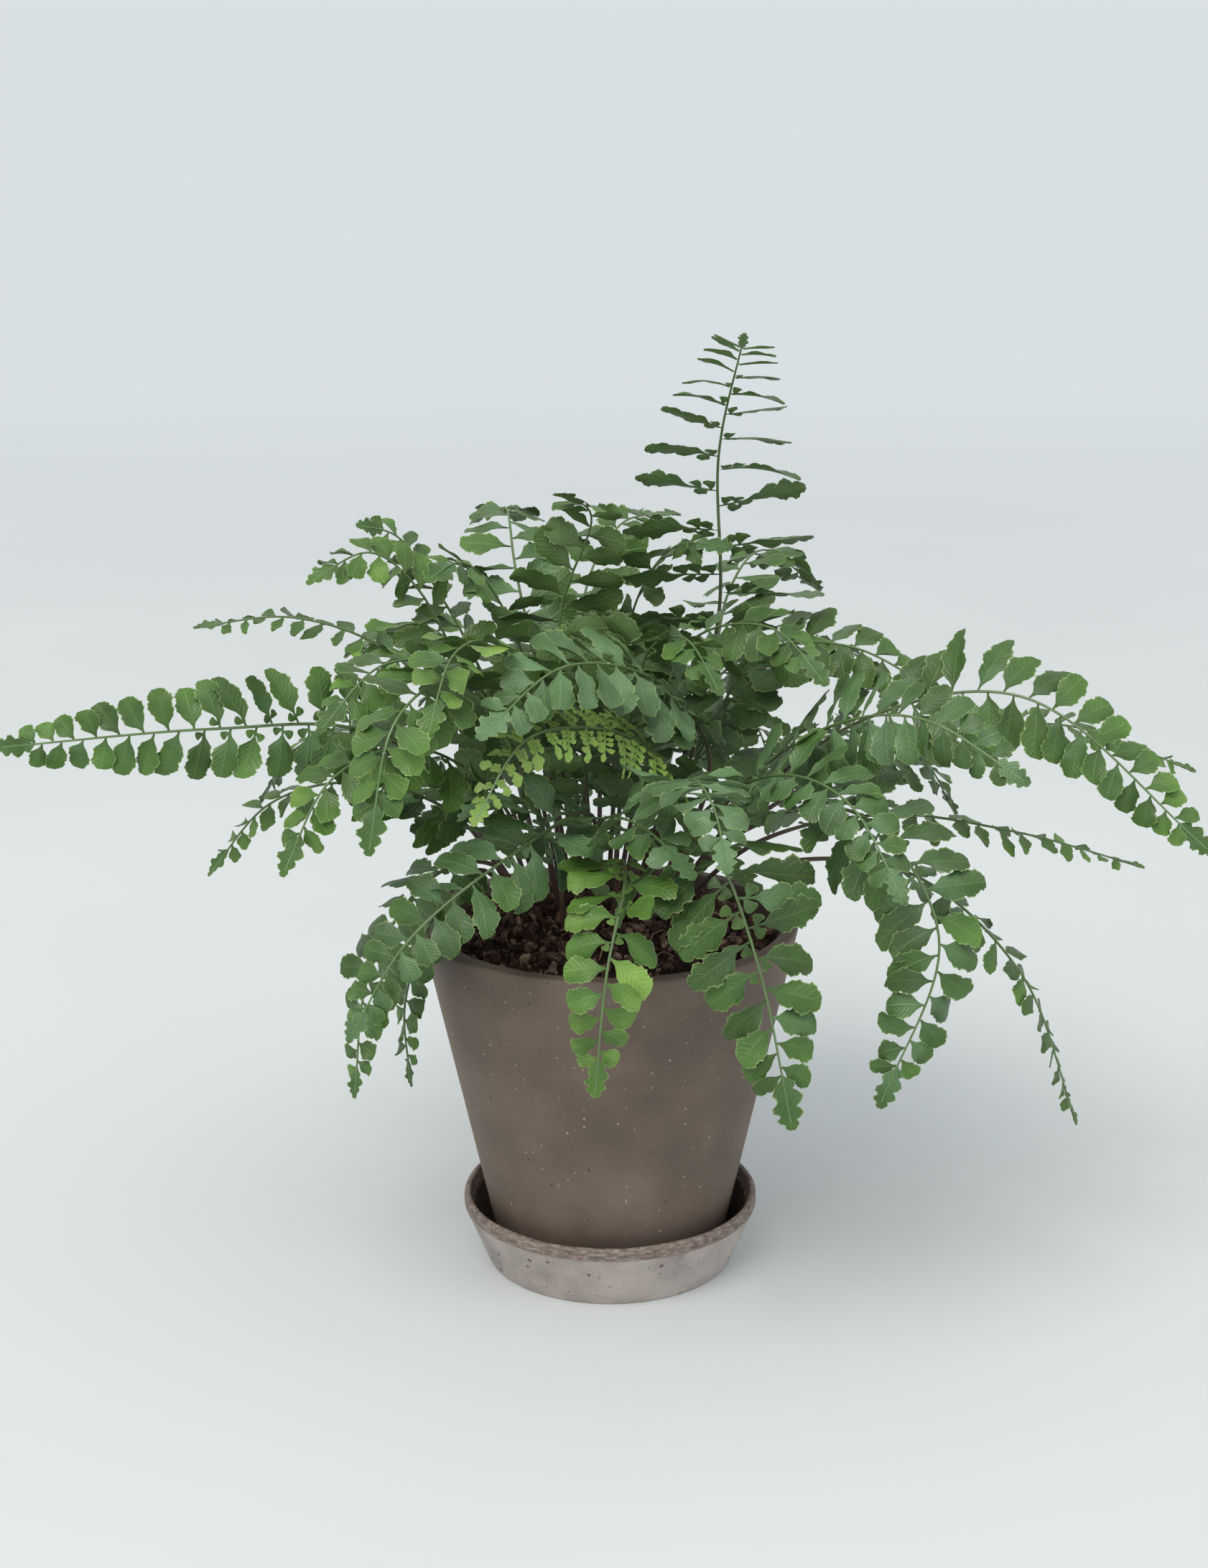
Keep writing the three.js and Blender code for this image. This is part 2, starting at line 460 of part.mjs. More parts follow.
// The soil fills the pot and rises to a rough mound, with a plain hole for each stalk
function soilGeometry(ribs) {
  const { edgeDrop, moundHeight, crownRadius, rough } = soilSize;
  const bottom = potBase + potSize.floor + touchGap;
  const edge = potTop - edgeDrop;
  const inside = (z) => potInside(z) - touchGap;
  const slope = (inside(edge) + crownRadius) / 2;
  const crown = edge + moundHeight;
  const geometry = turned([
    [0, bottom], [inside(bottom), bottom], [inside(edge), edge], [slope, edge + moundHeight / 2],
    [crownRadius, crown], [0, crown],
  ]);
  const draw = seededDraw(soilSeed);
  const position = geometry.getAttribute('position');
  for (let index = 0; index < position.count; index += 1) {
    const radius = Math.hypot(position.getX(index), position.getY(index));
    if (Math.abs(radius - slope) < 1) position.setZ(index, position.getZ(index) + rough * draw());
  }
  return ribs.reduce((soil, rib) => soil.subtract(solidOf(stalkHole(rib))), solidOf(geometry));
}

// Each leaflet has a seed of its own: a step per frond, a step per pair, and the side
const seedStep = { frond: 1000, pair: 10 };

// All midribs and end leaflets take their space first, then the other leaflets, frond by frond
const ribs = fronds.map(midrib);
ribs.forEach((rib, index) => {
  const steps = Math.ceil(rib.length);
  const points = Array.from({ length: steps }, (_, step) => frameAt(rib, (step / steps) * rib.length).point);
  take(points, index + 1);
  const end = endLeaflet(fronds[index], rib);
  take(fanSamples(end.points, end.frame.point), index + 1);
});

addPiece('saucer', saucerGeometry(), '#a89a90', 0.85);
addPiece('pot', potGeometry(), '#6f6058', 0.8);
addPiece('soil', geometryOf(soilGeometry(ribs)), '#3b2a25', 1);
fronds.forEach((frond, index) => {
  const [rib, owner] = [ribs[index], index + 1];
  const leaflets = pairPlaces(frond, rib).map((place, pair) => Object.fromEntries([1, -1].map((sign) => [
    sign, placeLeaflet(frond, rib, place, sign, owner, owner * seedStep.frond + pair * seedStep.pair + sign)])));
  addPiece(`frond${frond.name}`, frondGeometry(frond, rib, leaflets), '#55804f', 0.55);
});

export default part;
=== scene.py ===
import math

import bpy
import numpy as np
from mathutils import Matrix


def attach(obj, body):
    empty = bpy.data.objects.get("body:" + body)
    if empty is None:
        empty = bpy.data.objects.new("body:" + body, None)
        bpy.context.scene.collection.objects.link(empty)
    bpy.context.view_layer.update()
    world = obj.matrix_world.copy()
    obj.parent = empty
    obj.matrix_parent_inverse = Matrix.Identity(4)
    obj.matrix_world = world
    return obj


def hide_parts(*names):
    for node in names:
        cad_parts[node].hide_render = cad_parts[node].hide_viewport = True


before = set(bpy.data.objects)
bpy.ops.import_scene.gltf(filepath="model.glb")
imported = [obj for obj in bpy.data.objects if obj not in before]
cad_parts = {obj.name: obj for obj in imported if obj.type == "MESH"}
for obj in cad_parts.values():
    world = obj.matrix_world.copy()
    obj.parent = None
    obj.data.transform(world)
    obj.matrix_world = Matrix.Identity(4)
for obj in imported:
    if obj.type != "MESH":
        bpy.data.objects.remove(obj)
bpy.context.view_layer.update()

# A spleenwort fern in a tapered clay pot with its saucer. Tables are in millimetres, meshes in metres.
mm = 0.001
up = np.array([0.0, 0.0, 1.0])


# small tools
def linear(hexCode):
    # sRGB hex to linear RGBA: below 0.04045 a twelfth, above it the 2.4 power
    value = np.array([int(hexCode[i:i + 2], 16) for i in (1, 3, 5)]) / 255
    value = np.where(value <= 0.04045, value / 12.92, ((value + 0.055) / 1.055) ** 2.4)
    return (*value.tolist(), 1.0)


def join(tree, node, inputs):
    # Each input takes a number, a hex colour, another node's output, or a whole node, which stands for the
    # first of its outputs that is in use
    for key, value in inputs.items():
        if isinstance(value, bpy.types.Node):
            value = next(output for output in value.outputs if output.enabled)
        if isinstance(value, bpy.types.NodeSocket):
            tree.links.new(value, node.inputs[key])
        else:
            node.inputs[key].default_value = linear(value) if isinstance(value, str) else value


def addNode(tree, kind, inputs=None, stops=None, **settings):
    # a node with its settings, its inputs and, for a colour ramp, its stops of (place, hex colour)
    node = tree.nodes.new("ShaderNode" + kind)
    for key, value in settings.items():
        setattr(node, key, value)
    join(tree, node, inputs or {})
    if stops:
        ramp = node.color_ramp
        ramp.elements[0].position, ramp.elements[-1].position = stops[0][0], stops[-1][0]
        for spot, _ in stops[1:-1]:
            ramp.elements.new(spot)
        for element, (_, shade) in zip(ramp.elements, stops):
            element.color = linear(shade)
    return node


def newMaterial(name):
    # an empty material with its Principled shader joined to the output
    material = bpy.data.materials.new(name)
    material.use_nodes = True
    tree = material.node_tree
    tree.nodes.clear()
    shader = addNode(tree, "BsdfPrincipled")
    addNode(tree, "OutputMaterial", {"Surface": shader})
    return material, tree, shader


def newPiece(name, points, faces, materials, slots=None, values=None, uv=None, smooth=True, sharp=50):
    # Points (n, 3) are in metres, faces are a list of index arrays, values holds {attribute: a number for
    # each point}, and uv is per point. An edge sharper than sharp degrees stays hard.
    mesh = bpy.data.meshes.new(name)
    mesh.from_pydata(points, [], [face for block in faces for face in block.tolist()])
    for key, numbers in (values or {}).items():
        layer = mesh.attributes.new(key, "FLOAT", "POINT")
        layer.data.foreach_set("value", np.asarray(numbers, np.float32).ravel())
    corner = np.empty(len(mesh.loops), np.int32)
    mesh.loops.foreach_get("vertex_index", corner)
    if uv is not None:
        layer = mesh.uv_layers.new(name="leafPlace")
        layer.data.foreach_set("uv", np.asarray(uv, np.float32)[corner].ravel())
    for material in materials:
        mesh.materials.append(material)
    if slots is not None:
        mesh.polygons.foreach_set("material_index", np.asarray(slots, np.int32))
    mesh.polygons.foreach_set("use_smooth", np.full(len(mesh.polygons), smooth))
    if smooth:
        mesh.set_sharp_from_angle(angle=math.radians(sharp))
    mesh.update()
    piece = bpy.data.objects.new(name, mesh)
    bpy.context.scene.collection.objects.link(piece)
    return piece


def smoothstep(low, high, value):
    # 0 up to low, 1 from high on, and 3 t^2 - 2 t^3 between them
    share = np.clip((value - low) / (high - low), 0, 1)
    return share * share * (3 - 2 * share)


def unit(vectors):
    return vectors / np.linalg.norm(vectors, axis=-1, keepdims=True)


def dot(a, b):
    return (a * b).sum(-1, keepdims=True)


def turned(profile, sides, loop=False):
    # A profile of (radius, height) pairs carried round Z: (r cos a, r sin a, z). It runs from the inside
    # underneath outwards and up, so that faces look outwards. A radius of 0 closes in one point.
    profile = np.asarray(profile, float)
    angles = np.arange(sides) * 2 * math.pi / sides
    points, rings = [], []
    total = 0
    for radius, height in profile:
        count = 1 if radius == 0 else sides
        ring = np.stack([radius * np.cos(angles), radius * np.sin(angles), np.full(sides, height)], 1)[:count]
        points.append(ring)
        rings.append(total + np.arange(count))
        total += count
    quads, fans = [], []
    pairs = list(zip(rings, rings[1:] + rings[:1] if loop else rings[1:]))
    for a, b in pairs:
        if len(a) == sides and len(b) == sides:
            quads.append(np.stack([a, np.roll(a, -1), np.roll(b, -1), b], 1))
        elif len(a) == 1:
            fans.append(np.stack([np.full(sides, a[0]), np.roll(b, -1), b], 1))
        else:
            fans.append(np.stack([a, np.roll(a, -1), np.full(sides, b[0])], 1))
    return np.vstack(points), quads + fans


def rounded(corners, radius, steps=4):
    # A profile with its corners rounded: each inner corner becomes a quadratic curve between two points
    # that lie the radius away from it along its two sides
    corners = [np.array(corner, float) for corner in corners]
    out = [corners[0]]
    for before, here, after in zip(corners, corners[1:], corners[2:]):
        back, ahead = before - here, after - here
        reach = min(radius, 0.45 * np.linalg.norm(back), 0.45 * np.linalg.norm(ahead))
        a, b = here + unit(back) * reach, here + unit(ahead) * reach
        for t in np.linspace(0, 1, steps + 1):
            out.append((1 - t) ** 2 * a + 2 * t * (1 - t) * here + t * t * b)
    return np.array(out + [corners[-1]])


def ripple(x, y, size, seed, waves=9):
    # Smooth random relief: the mean of sine waves of about one size that run in random directions
    rng = np.random.default_rng(seed)
    turn, phase = rng.uniform(0, 2 * math.pi, (2, waves))
    pitch = size * rng.uniform(0.7, 1.4, waves)
    travel = x[..., None] * np.cos(turn) + y[..., None] * np.sin(turn)
    return np.sin(2 * math.pi * travel / pitch + phase).mean(-1) * math.sqrt(2 * waves) / 1.6


# camera
cameraSetup = {"place": (0.0, -0.828, 0.407), "pitch": 15.05, "yaw": -0.13, "roll": -0.17,
               "focalPixels": 3280, "framePixels": 2184, "sensor": 36.0}


def addCamera(setup):
    # the camera's axes: forward from yaw and pitch, then right and up turned by the roll
    pitch, yaw, roll = (math.radians(setup[key]) for key in ("pitch", "yaw", "roll"))
    forward = np.array([math.sin(yaw) * math.cos(pitch), math.cos(yaw) * math.cos(pitch), -math.sin(pitch)])
    level = np.array([math.cos(yaw), -math.sin(yaw), 0.0])
    above = np.cross(level, forward)
    right = math.cos(roll) * level + math.sin(roll) * above
    top = math.cos(roll) * above - math.sin(roll) * level
    data = bpy.data.cameras.new("camera")
    data.sensor_width = setup["sensor"]
    data.lens = setup["focalPixels"] / setup["framePixels"] * setup["sensor"]
    camera = bpy.data.objects.new("camera", data)
    bpy.context.scene.collection.objects.link(camera)
    axes = Matrix([(*row, place) for row, place in zip(np.stack([right, top, -forward], 1), setup["place"])])
    camera.matrix_world = Matrix([*axes, (0, 0, 0, 1)])
    bpy.context.scene.camera = camera


addCamera(cameraSetup)
print("camera placed")


# materials
# spans for map ranges: where nearly all of a noise lies, a signed number, and a fall from 1 to 0
noiseSpan = {"From Min": 0.3, "From Max": 0.7}
signedSpan = {"From Min": -1.0, "From Max": 1.0}
falling = {"To Min": 1.0, "To Max": 0.0}


def spots(tree, place, spacing, size):
    # Round spots, one to a cell of a random grid, sized in millimetres: the cell's own random number cubed
    # times the largest radius, so that most are small
    cell = addNode(tree, "TexVoronoi", {"Vector": place, "Scale": 1 / (spacing * mm)})
    chance = addNode(tree, "SeparateColor", {"Color": cell.outputs["Color"]})
    cubed = addNode(tree, "Math", {0: chance, 1: 3.0}, operation="POWER")
    radius = addNode(tree, "Math", {0: cubed, 1: size / spacing}, operation="MULTIPLY")
    edge = addNode(tree, "Math", {0: cell, 1: radius}, operation="SUBTRACT")
    return addNode(tree, "MapRange", {"Value": edge, "From Min": 0.0, "From Max": 0.1 / spacing, **falling})


def firedClay(name, look):
    # Unglazed earthenware, pressed and fired: dull, slightly uneven, with pale grit and small pits, whose
    # dark colour is painted shade in their hollows
    material, tree, shader = newMaterial(name)
    place = addNode(tree, "TexCoord").outputs["Object"]
    cloud = addNode(tree, "TexNoise", {"Vector": place, "Scale": 1 / (look["cloudSize"] * mm), "Detail": 3.0})
    tone = addNode(tree, "ValToRGB", {"Fac": cloud},
                   [(0.32, look["dark"]), (0.5, look["body"]), (0.68, look["pale"])])
    # the grain lies in short streaks round the pot, as the press leaves it
    grainSize, grainFlat = 1.1, 2.2
    flat = addNode(tree, "Mapping", {"Vector": place, "Scale": (1.0, 1.0, grainFlat)})
    grain = addNode(tree, "TexNoise", {"Vector": flat, "Scale": 1 / (grainSize * mm), "Detail": 2.0})
    grainTone = addNode(tree, "MapRange", {"Value": grain, **noiseSpan, "To Min": 0.92, "To Max": 1.08})
    base = addNode(tree, "Mix", {0: 1.0, 6: tone, 7: grainTone}, data_type="RGBA", blend_type="MULTIPLY")
    grit = spots(tree, place, look["gritSpacing"], look["gritSize"])
    speck = addNode(tree, "Math", {0: grit, 1: look["gritShow"]}, operation="MULTIPLY")
    gritted = addNode(tree, "Mix", {0: speck, 6: base, 7: look["grit"]}, data_type="RGBA")
    # the pits are dented by the bump, and painted darker as shade in their hollows
    hollow = spots(tree, place, look["pitSpacing"], look["pitSize"])
    pit = addNode(tree, "Math", {0: hollow, 1: look["pitShow"]}, operation="MULTIPLY")
    final = addNode(tree, "Mix", {0: pit, 6: gritted, 7: look["pit"]}, data_type="RGBA")
    if "lip" in look:
        # the lip above a height is darker and rubbed, in short streaks that run round it
        streakSize, streakFlat, ragged, blur = 3.4, 3.5, 0.0006, 0.0003
        height = addNode(tree, "SeparateXYZ", {"Vector": place}).outputs["Z"]
        drawn = addNode(tree, "Mapping", {"Vector": place, "Scale": (1.0, 1.0, streakFlat)})
        streak = addNode(tree, "TexNoise", {"Vector": drawn, "Scale": 1 / (streakSize * mm), "Detail": 6.0,
                                            "Roughness": 0.7})
        shift = addNode(tree, "MapRange", {"Value": streak, **noiseSpan, "To Min": -ragged, "To Max": ragged})
        level = addNode(tree, "Math", {0: height, 1: shift}, operation="ADD")
        start = look["lipHeight"] * mm
        band = addNode(tree, "MapRange", {"Value": level, "From Min": start - blur, "From Max": start + blur})
        scuff = addNode(tree, "ValToRGB", {"Fac": streak},
                        [(0.36, look["lipDark"]), (0.5, look["lip"]), (0.66, look["lipPale"])])
        # painted shade: the inside is made darker, standing in for the shadow that falls in it
        shadeMask = addNode(tree, "Attribute", attribute_name="paintedInsideShade").outputs["Fac"]
        insideShaded = addNode(tree, "Mix", {0: shadeMask, 6: final, 7: look["insideShade"]}, data_type="RGBA")
        final = addNode(tree, "Mix", {0: band, 6: insideShaded, 7: scuff}, data_type="RGBA")
    rough = addNode(tree, "MapRange", {"Value": cloud, "To Min": look["rough"] - 0.1,
                                       "To Max": look["rough"] + 0.1})
    sunk = addNode(tree, "Math", {0: grain, 1: pit}, operation="SUBTRACT")
    bump = addNode(tree, "Bump", {"Height": sunk, "Strength": 0.5, "Distance": look["relief"] * mm})
    join(tree, shader, {"Base Color": final, "Roughness": rough, "Specular IOR Level": 0.35, "Normal": bump})
    return material


# both pit colours are painted shade in the small hollows
potClay = firedClay("unglazedClayPot", {
    "body": "#6b5c51", "dark": "#60534a", "pale": "#75665c", "cloudSize": 30,
    "grit": "#c0ad98", "gritSpacing": 3, "gritSize": 0.45, "gritShow": 0.6,
    "pit": "#3f332c", "pitSpacing": 7, "pitSize": 0.8, "pitShow": 0.6, "rough": 0.62, "relief": 0.12})
# the saucer's last colour is painted shade for its inside
saucerClay = firedClay("unglazedClaySaucer", {
    "body": "#ada39d", "dark": "#99908b", "pale": "#b9afa9", "cloudSize": 16,
    "grit": "#cfc4b8", "gritSpacing": 5, "gritSize": 0.5, "gritShow": 0.4,
    "pit": "#5a4a44", "pitSpacing": 3.7, "pitSize": 0.95, "pitShow": 0.8, "rough": 0.72, "relief": 0.2,
    "lip": "#7a6c64", "lipDark": "#5c4f49", "lipPale": "#9d9087", "lipHeight": 21.3, "insideShade": "#40362f"})


def pottingSoil(look):
    # Peat and bark, screened and damp: near-black brown with rusty and pale crumbs, no gloss
    material, tree, shader = newMaterial("peatPottingSoil")
    place = addNode(tree, "TexCoord").outputs["Object"]
    blotch = addNode(tree, "TexNoise", {"Vector": place, "Scale": 1 / (look["blotch"] * mm), "Detail": 4.0,
                                        "Roughness": 0.7})
    # each crumb has its own tone; the bed that they lie on is the darkest, painted shade in the gaps between
    # them
    own = addNode(tree, "Attribute", attribute_name="crumbTone").outputs["Fac"]
    lifted = addNode(tree, "Math", {0: own, 1: look["crumbShow"], 2: blotch}, operation="MULTIPLY_ADD")
    tone = addNode(tree, "ValToRGB", {"Fac": lifted},
                   [(0.35, look["shadedBed"]), (0.58, look["dark"]), (0.8, look["brown"]), (0.98, look["pale"])])
    fine = addNode(tree, "TexNoise", {"Vector": place, "Scale": 1 / (look["grain"] * mm), "Detail": 4.0})
    bump = addNode(tree, "Bump", {"Height": fine, "Strength": 0.8, "Distance": look["relief"] * mm})
    join(tree, shader, {"Base Color": tone, "Roughness": 0.95, "Specular IOR Level": 0.2, "Normal": bump})
    return material


def coirFibre(look):
    # Coir: dry split husk strands, dull and straw brown
    material, tree, shader = newMaterial("coirFibre")
    place = addNode(tree, "TexCoord").outputs["Object"]
    tint = addNode(tree, "TexNoise", {"Vector": place, "Scale": 1 / (look["tint"] * mm)})
    tone = addNode(tree, "ValToRGB", {"Fac": tint}, [(0.35, look["dark"]), (0.65, look["pale"])])
    join(tree, shader, {"Base Color": tone, "Roughness": 0.8})
    return material


def fernLeaf(look):
    # Spleenwort leaf: leathery with a thin wax bloom, so it has a soft sheen, a pale rim and faint side
    # veins; the bluer foot of each leaflet is a painted sheen
    material, tree, shader = newMaterial("waxyFernLeaf")
    place = addNode(tree, "TexCoord").outputs["Object"]
    tone, shade, under = (addNode(tree, "Attribute", attribute_name=key).outputs["Fac"]
                          for key in ("leafTone", "leafShade", "underSide"))
    spot = addNode(tree, "SeparateXYZ", {"Vector": addNode(tree, "UVMap", uv_map="leafPlace")})
    mottle = addNode(tree, "TexNoise", {"Vector": place, "Scale": 1 / (look["mottle"] * mm), "Detail": 3.0})
    drift = addNode(tree, "MapRange", {"Value": mottle, **noiseSpan, "To Min": -0.1, "To Max": 0.1})
    shifted = addNode(tree, "Math", {0: tone, 1: drift}, operation="ADD")
    # painted sheen: each leaflet is bluer at its foot, as the sky's reflection on the wax makes it look, and
    # greener towards its end
    paintedSheen = addNode(tree, "MapRange", {"Value": spot.outputs["Y"], "To Min": -0.1, "To Max": 0.14})
    greened = addNode(tree, "Math", {0: shifted, 1: paintedSheen}, operation="ADD")
    # the first stop is the wax bloom's blue with painted sheen on it
    base = addNode(tree, "ValToRGB", {"Fac": greened},
                   [(0.0, look["bloomAndSheen"]), (0.13, look["blue"]), (0.36, look["green"]), (0.7, look["fresh"]),
                    (1.0, look["young"])])
    lit = addNode(tree, "MapRange", {"Value": shade, **signedSpan, "To Min": 0.76, "To Max": 1.18})
    toned = addNode(tree, "Mix", {0: 1.0, 6: base, 7: lit}, data_type="RGBA", blend_type="MULTIPLY")
    # how far from the midrib, 0 to 1
    centred = addNode(tree, "Math", {0: spot.outputs["X"], 1: 0.5}, operation="SUBTRACT")
    aside = addNode(tree, "Math", {0: centred}, operation="ABSOLUTE")
    far = addNode(tree, "Math", {0: aside, 1: 2.0}, operation="MULTIPLY")
    # side veins run forwards and outwards, and waver a little
    along = addNode(tree, "Math", {0: spot.outputs["Y"], 1: look["veins"], 2: mottle},
                    operation="MULTIPLY_ADD")
    slant = addNode(tree, "Math", {0: far, 1: look["veinSlant"]}, operation="MULTIPLY")
    phase = addNode(tree, "Math", {0: along, 1: slant}, operation="SUBTRACT")
    tooth = addNode(tree, "Math", {0: phase, 1: 0.5}, operation="PINGPONG")
    vein = addNode(tree, "MapRange", {"Value": tooth, "From Min": 0.0, "From Max": 0.16, **falling})
    rib = addNode(tree, "MapRange", {"Value": far, "From Min": 0.03, "From Max": 0.12, **falling})
    lines = addNode(tree, "Math", {0: vein, 1: rib}, operation="MAXIMUM")
    faint = addNode(tree, "Math", {0: lines, 1: look["veinShow"]}, operation="MULTIPLY")
    veined = addNode(tree, "Mix", {0: faint, 6: toned, 7: look["margin"]}, data_type="RGBA")
    rim = addNode(tree, "MapRange", {"Value": far, "From Min": 0.88, "From Max": 0.98,
                                     "To Max": look["rimShow"]})
    rimmed = addNode(tree, "Mix", {0: rim, 6: veined, 7: look["margin"]}, data_type="RGBA")
    below = addNode(tree, "Math", {0: under, 1: look["underShow"]}, operation="MULTIPLY")
    final = addNode(tree, "Mix", {0: below, 6: rimmed, 7: look["under"]}, data_type="RGBA")
    rough = addNode(tree, "MapRange", {"Value": mottle, **noiseSpan, "To Min": look["rough"] - 0.07,
                                       "To Max": look["rough"] + 0.07})
    sunk = addNode(tree, "Math", {0: mottle, 1: lines}, operation="SUBTRACT")
    bump = addNode(tree, "Bump", {"Height": sunk, "Strength": 0.6, "Distance": look["relief"] * mm})
    join(tree, shader, {"Base Color": final, "Roughness": rough, "Specular IOR Level": 0.45, "Normal": bump})
    return material


def wiryStalk(look):
    # Spleenwort stalk: hard and smooth, purple brown at the foot, turning green where the leaflets begin
    material, tree, shader = newMaterial("smoothFernStalk")
    place = addNode(tree, "TexCoord").outputs["Object"]
    ripe = addNode(tree, "Attribute", attribute_name="leafTone").outputs["Fac"]
    tone = addNode(tree, "ValToRGB", {"Fac": ripe},
                   [(0.0, look["foot"]), (0.35, look["brown"]), (0.5, look["turning"]), (0.65, look["green"]),
                    (1.0, look["tip"])])
    blotch = addNode(tree, "TexNoise", {"Vector": place, "Scale": 1 / (look["blotch"] * mm), "Detail": 3.0})
    lit = addNode(tree, "MapRange", {"Value": blotch, **noiseSpan, "To Min": 0.85, "To Max": 1.15})
    # some stalks are paler than others
    age = addNode(tree, "Attribute", attribute_name="leafShade").outputs["Fac"]
    paler = addNode(tree, "MapRange", {"Value": age, **signedSpan, "To Min": 0.55, "To Max": 1.45})
    strength = addNode(tree, "Math", {0: lit, 1: paler}, operation="MULTIPLY")
    toned = addNode(tree, "Mix", {0: 1.0, 6: tone, 7: strength}, data_type="RGBA", blend_type="MULTIPLY")
    join(tree, shader, {"Base Color": toned, "Roughness": 0.42})
    return material


# the bed colour is painted shade between the crumbs
soilMaterial = pottingSoil({"shadedBed": "#150f0d", "dark": "#32241f", "brown": "#5a453c", "pale": "#9c8272",
                            "crumbShow": 0.42, "blotch": 4, "grain": 0.8, "relief": 0.4})
fibreMaterial = coirFibre({"dark": "#5d4534", "pale": "#9a7d60", "tint": 6})
# the first leaf colour is the wax bloom's blue with painted sheen on it
leafMaterial = fernLeaf({
    "bloomAndSheen": "#62825a", "blue": "#54734b", "green": "#3c5a28", "fresh": "#50752b", "young": "#7c9c46",
    "margin": "#93aa68", "under": "#61794a", "underShow": 0.7, "mottle": 9, "rough": 0.46, "veins": 9,
    "veinSlant": 1.7, "veinShow": 0.1, "rimShow": 0.6, "relief": 0.25})
stalkMaterial = wiryStalk({"foot": "#3b2c25", "brown": "#564338", "turning": "#54523a", "green": "#4f6539",
                           "tip": "#5f7c4c", "blotch": 5})
print("materials made")


# saucer and pot
saucerSize = {"baseRadius": 46.5, "lipRadius": 55.5, "height": 26, "wall": 3, "floor": 4.5,
              "floorRadius": 44.5, "footRing": 5, "footRise": 0.6, "lipBand": 4.4, "innerDrop": 2.4,
              "corner": 0.7, "sides": 128}
potSize = {"baseRadius": 42.5, "rimRadius": 70, "height": 128, "wall": 6.2, "floor": 7, "drainRadius": 6.5,
           "base": 4.8, "corner": 1.1, "rowHeight": 8, "sides": 144}
potTop = potSize["base"] + potSize["height"]


def potInside(z):
    # the pot's inner radius at a height, on its straight taper
    share = (z - potSize["base"]) / potSize["height"]
    return potSize["baseRadius"] + (potSize["rimRadius"] - potSize["baseRadius"]) * share - potSize["wall"]


def addSaucer(size):
    # The profile runs from the raised middle underneath, round the foot ring and the lip, to the middle of
    # the floor. Two slow waves wear the lip's top.
    base, lip, top, floor = size["baseRadius"], size["lipRadius"], size["height"], size["floor"]
    foot, inner, innerTop = base - size["footRing"], lip - size["wall"], top - size["innerDrop"]
    lipFoot = top - size["lipBand"]
    outline = rounded([(0, size["footRise"]), (foot - 1, size["footRise"]), (foot, 0), (base, 0),
                       (lip - 0.35, lipFoot - 0.8), (lip, lipFoot), (lip, top - 1.2), (lip - 0.9, top),
                       (inner + 0.7, top - 0.2), (inner, innerTop), (size["floorRadius"], floor), (0, floor)],
                      size["corner"])
    points, faces = turned(outline, size["sides"])
    angle = np.arctan2(points[:, 1], points[:, 0])
    paintedSheen = 0.12 * np.sin(5 * angle + 1) + 0.1 * np.sin(11 * angle + 2)
    points[:, 2] += paintedSheen * smoothstep(top - 4, top, points[:, 2])
    # inside is what lies within the inner wall's line, above the floor; it takes the painted shade
    climb = (points[:, 2] - floor) / (innerTop - floor)
    wall = size["floorRadius"] + (inner - size["floorRadius"]) * climb
    within = (np.hypot(points[:, 0], points[:, 1]) < wall + 0.4) & (climb > -0.05)
    return newPiece("claySaucer", points * mm, faces, [saucerClay], values={"paintedInsideShade": within}, sharp=40)


def addPot(size):
    # The profile runs from the drainage hole underneath, up the outside, over the rim and down the inside
    base, inner = size["base"], size["base"] + size["floor"]
    foot, rim, drain, mouth = size["baseRadius"], size["rimRadius"], size["drainRadius"], potInside(potTop)
    outline = rounded([(drain, inner), (drain, base), (foot - 0.4, base), (foot, base + 1),
                       (rim - 0.15, potTop - 1.2), (rim - 0.6, potTop), (mouth + 0.6, potTop),
                       (mouth, potTop - 1.2), (potInside(inner), inner), (drain + 0.6, inner)],
                      size["corner"], 5)
    # rows up the long walls let the clay lean a little out of true
    rows = [outline[0]]
    for a, b in zip(outline, outline[1:]):
        steps = max(1, int(np.linalg.norm(b - a) / size["rowHeight"]))
        rows += [a + (b - a) * t / steps for t in range(1, steps + 1)]
    points, faces = turned(rows, size["sides"], loop=True)
    angle = np.arctan2(points[:, 1], points[:, 0])
    uneven = 0.12 * np.sin(2 * angle + 0.5) + 0.07 * np.sin(3 * angle + points[:, 2] / 30)
    radius = np.hypot(points[:, 0], points[:, 1])
    # the walls stay 0.2 within true, and the drainage hole is left as it is
    points[:, :2] *= (1 + np.where(radius > 30, uneven - 0.2, 0) / radius)[:, None]
    return newPiece("clayPot", points * mm, faces, [potClay], sharp=40)


saucer, pot = addSaucer(saucerSize), addPot(potSize)
for piece, node in ((saucer, "saucer"), (pot, "pot")):
    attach(piece, "root")
    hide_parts(node)
print("saucer and pot made")


# soil
soilSize = {"edgeDrop": 6, "moundHeight": 12, "crownRadius": 33, "rough": 0.9}
# a crumb's girth is the first number plus the second times a random number to the power of the third
crumbSize = {"count": 2600, "girth": (0.6, 1.9, 2.2), "stretch": (0.6, 1.3), "lumps": (0.72, 1.2),
             "raised": 0.35, "margin": 2.2}
fibreSize = {"count": 90, "steps": 8, "bend": 0.28, "stride": (0.8, 2.4), "radius": (0.14, 0.32),
             "lift": (0.7, 1.4), "margin": 12}
soilEdge = potTop - soilSize["edgeDrop"]
soilRadius = potInside(soilEdge) - 0.5


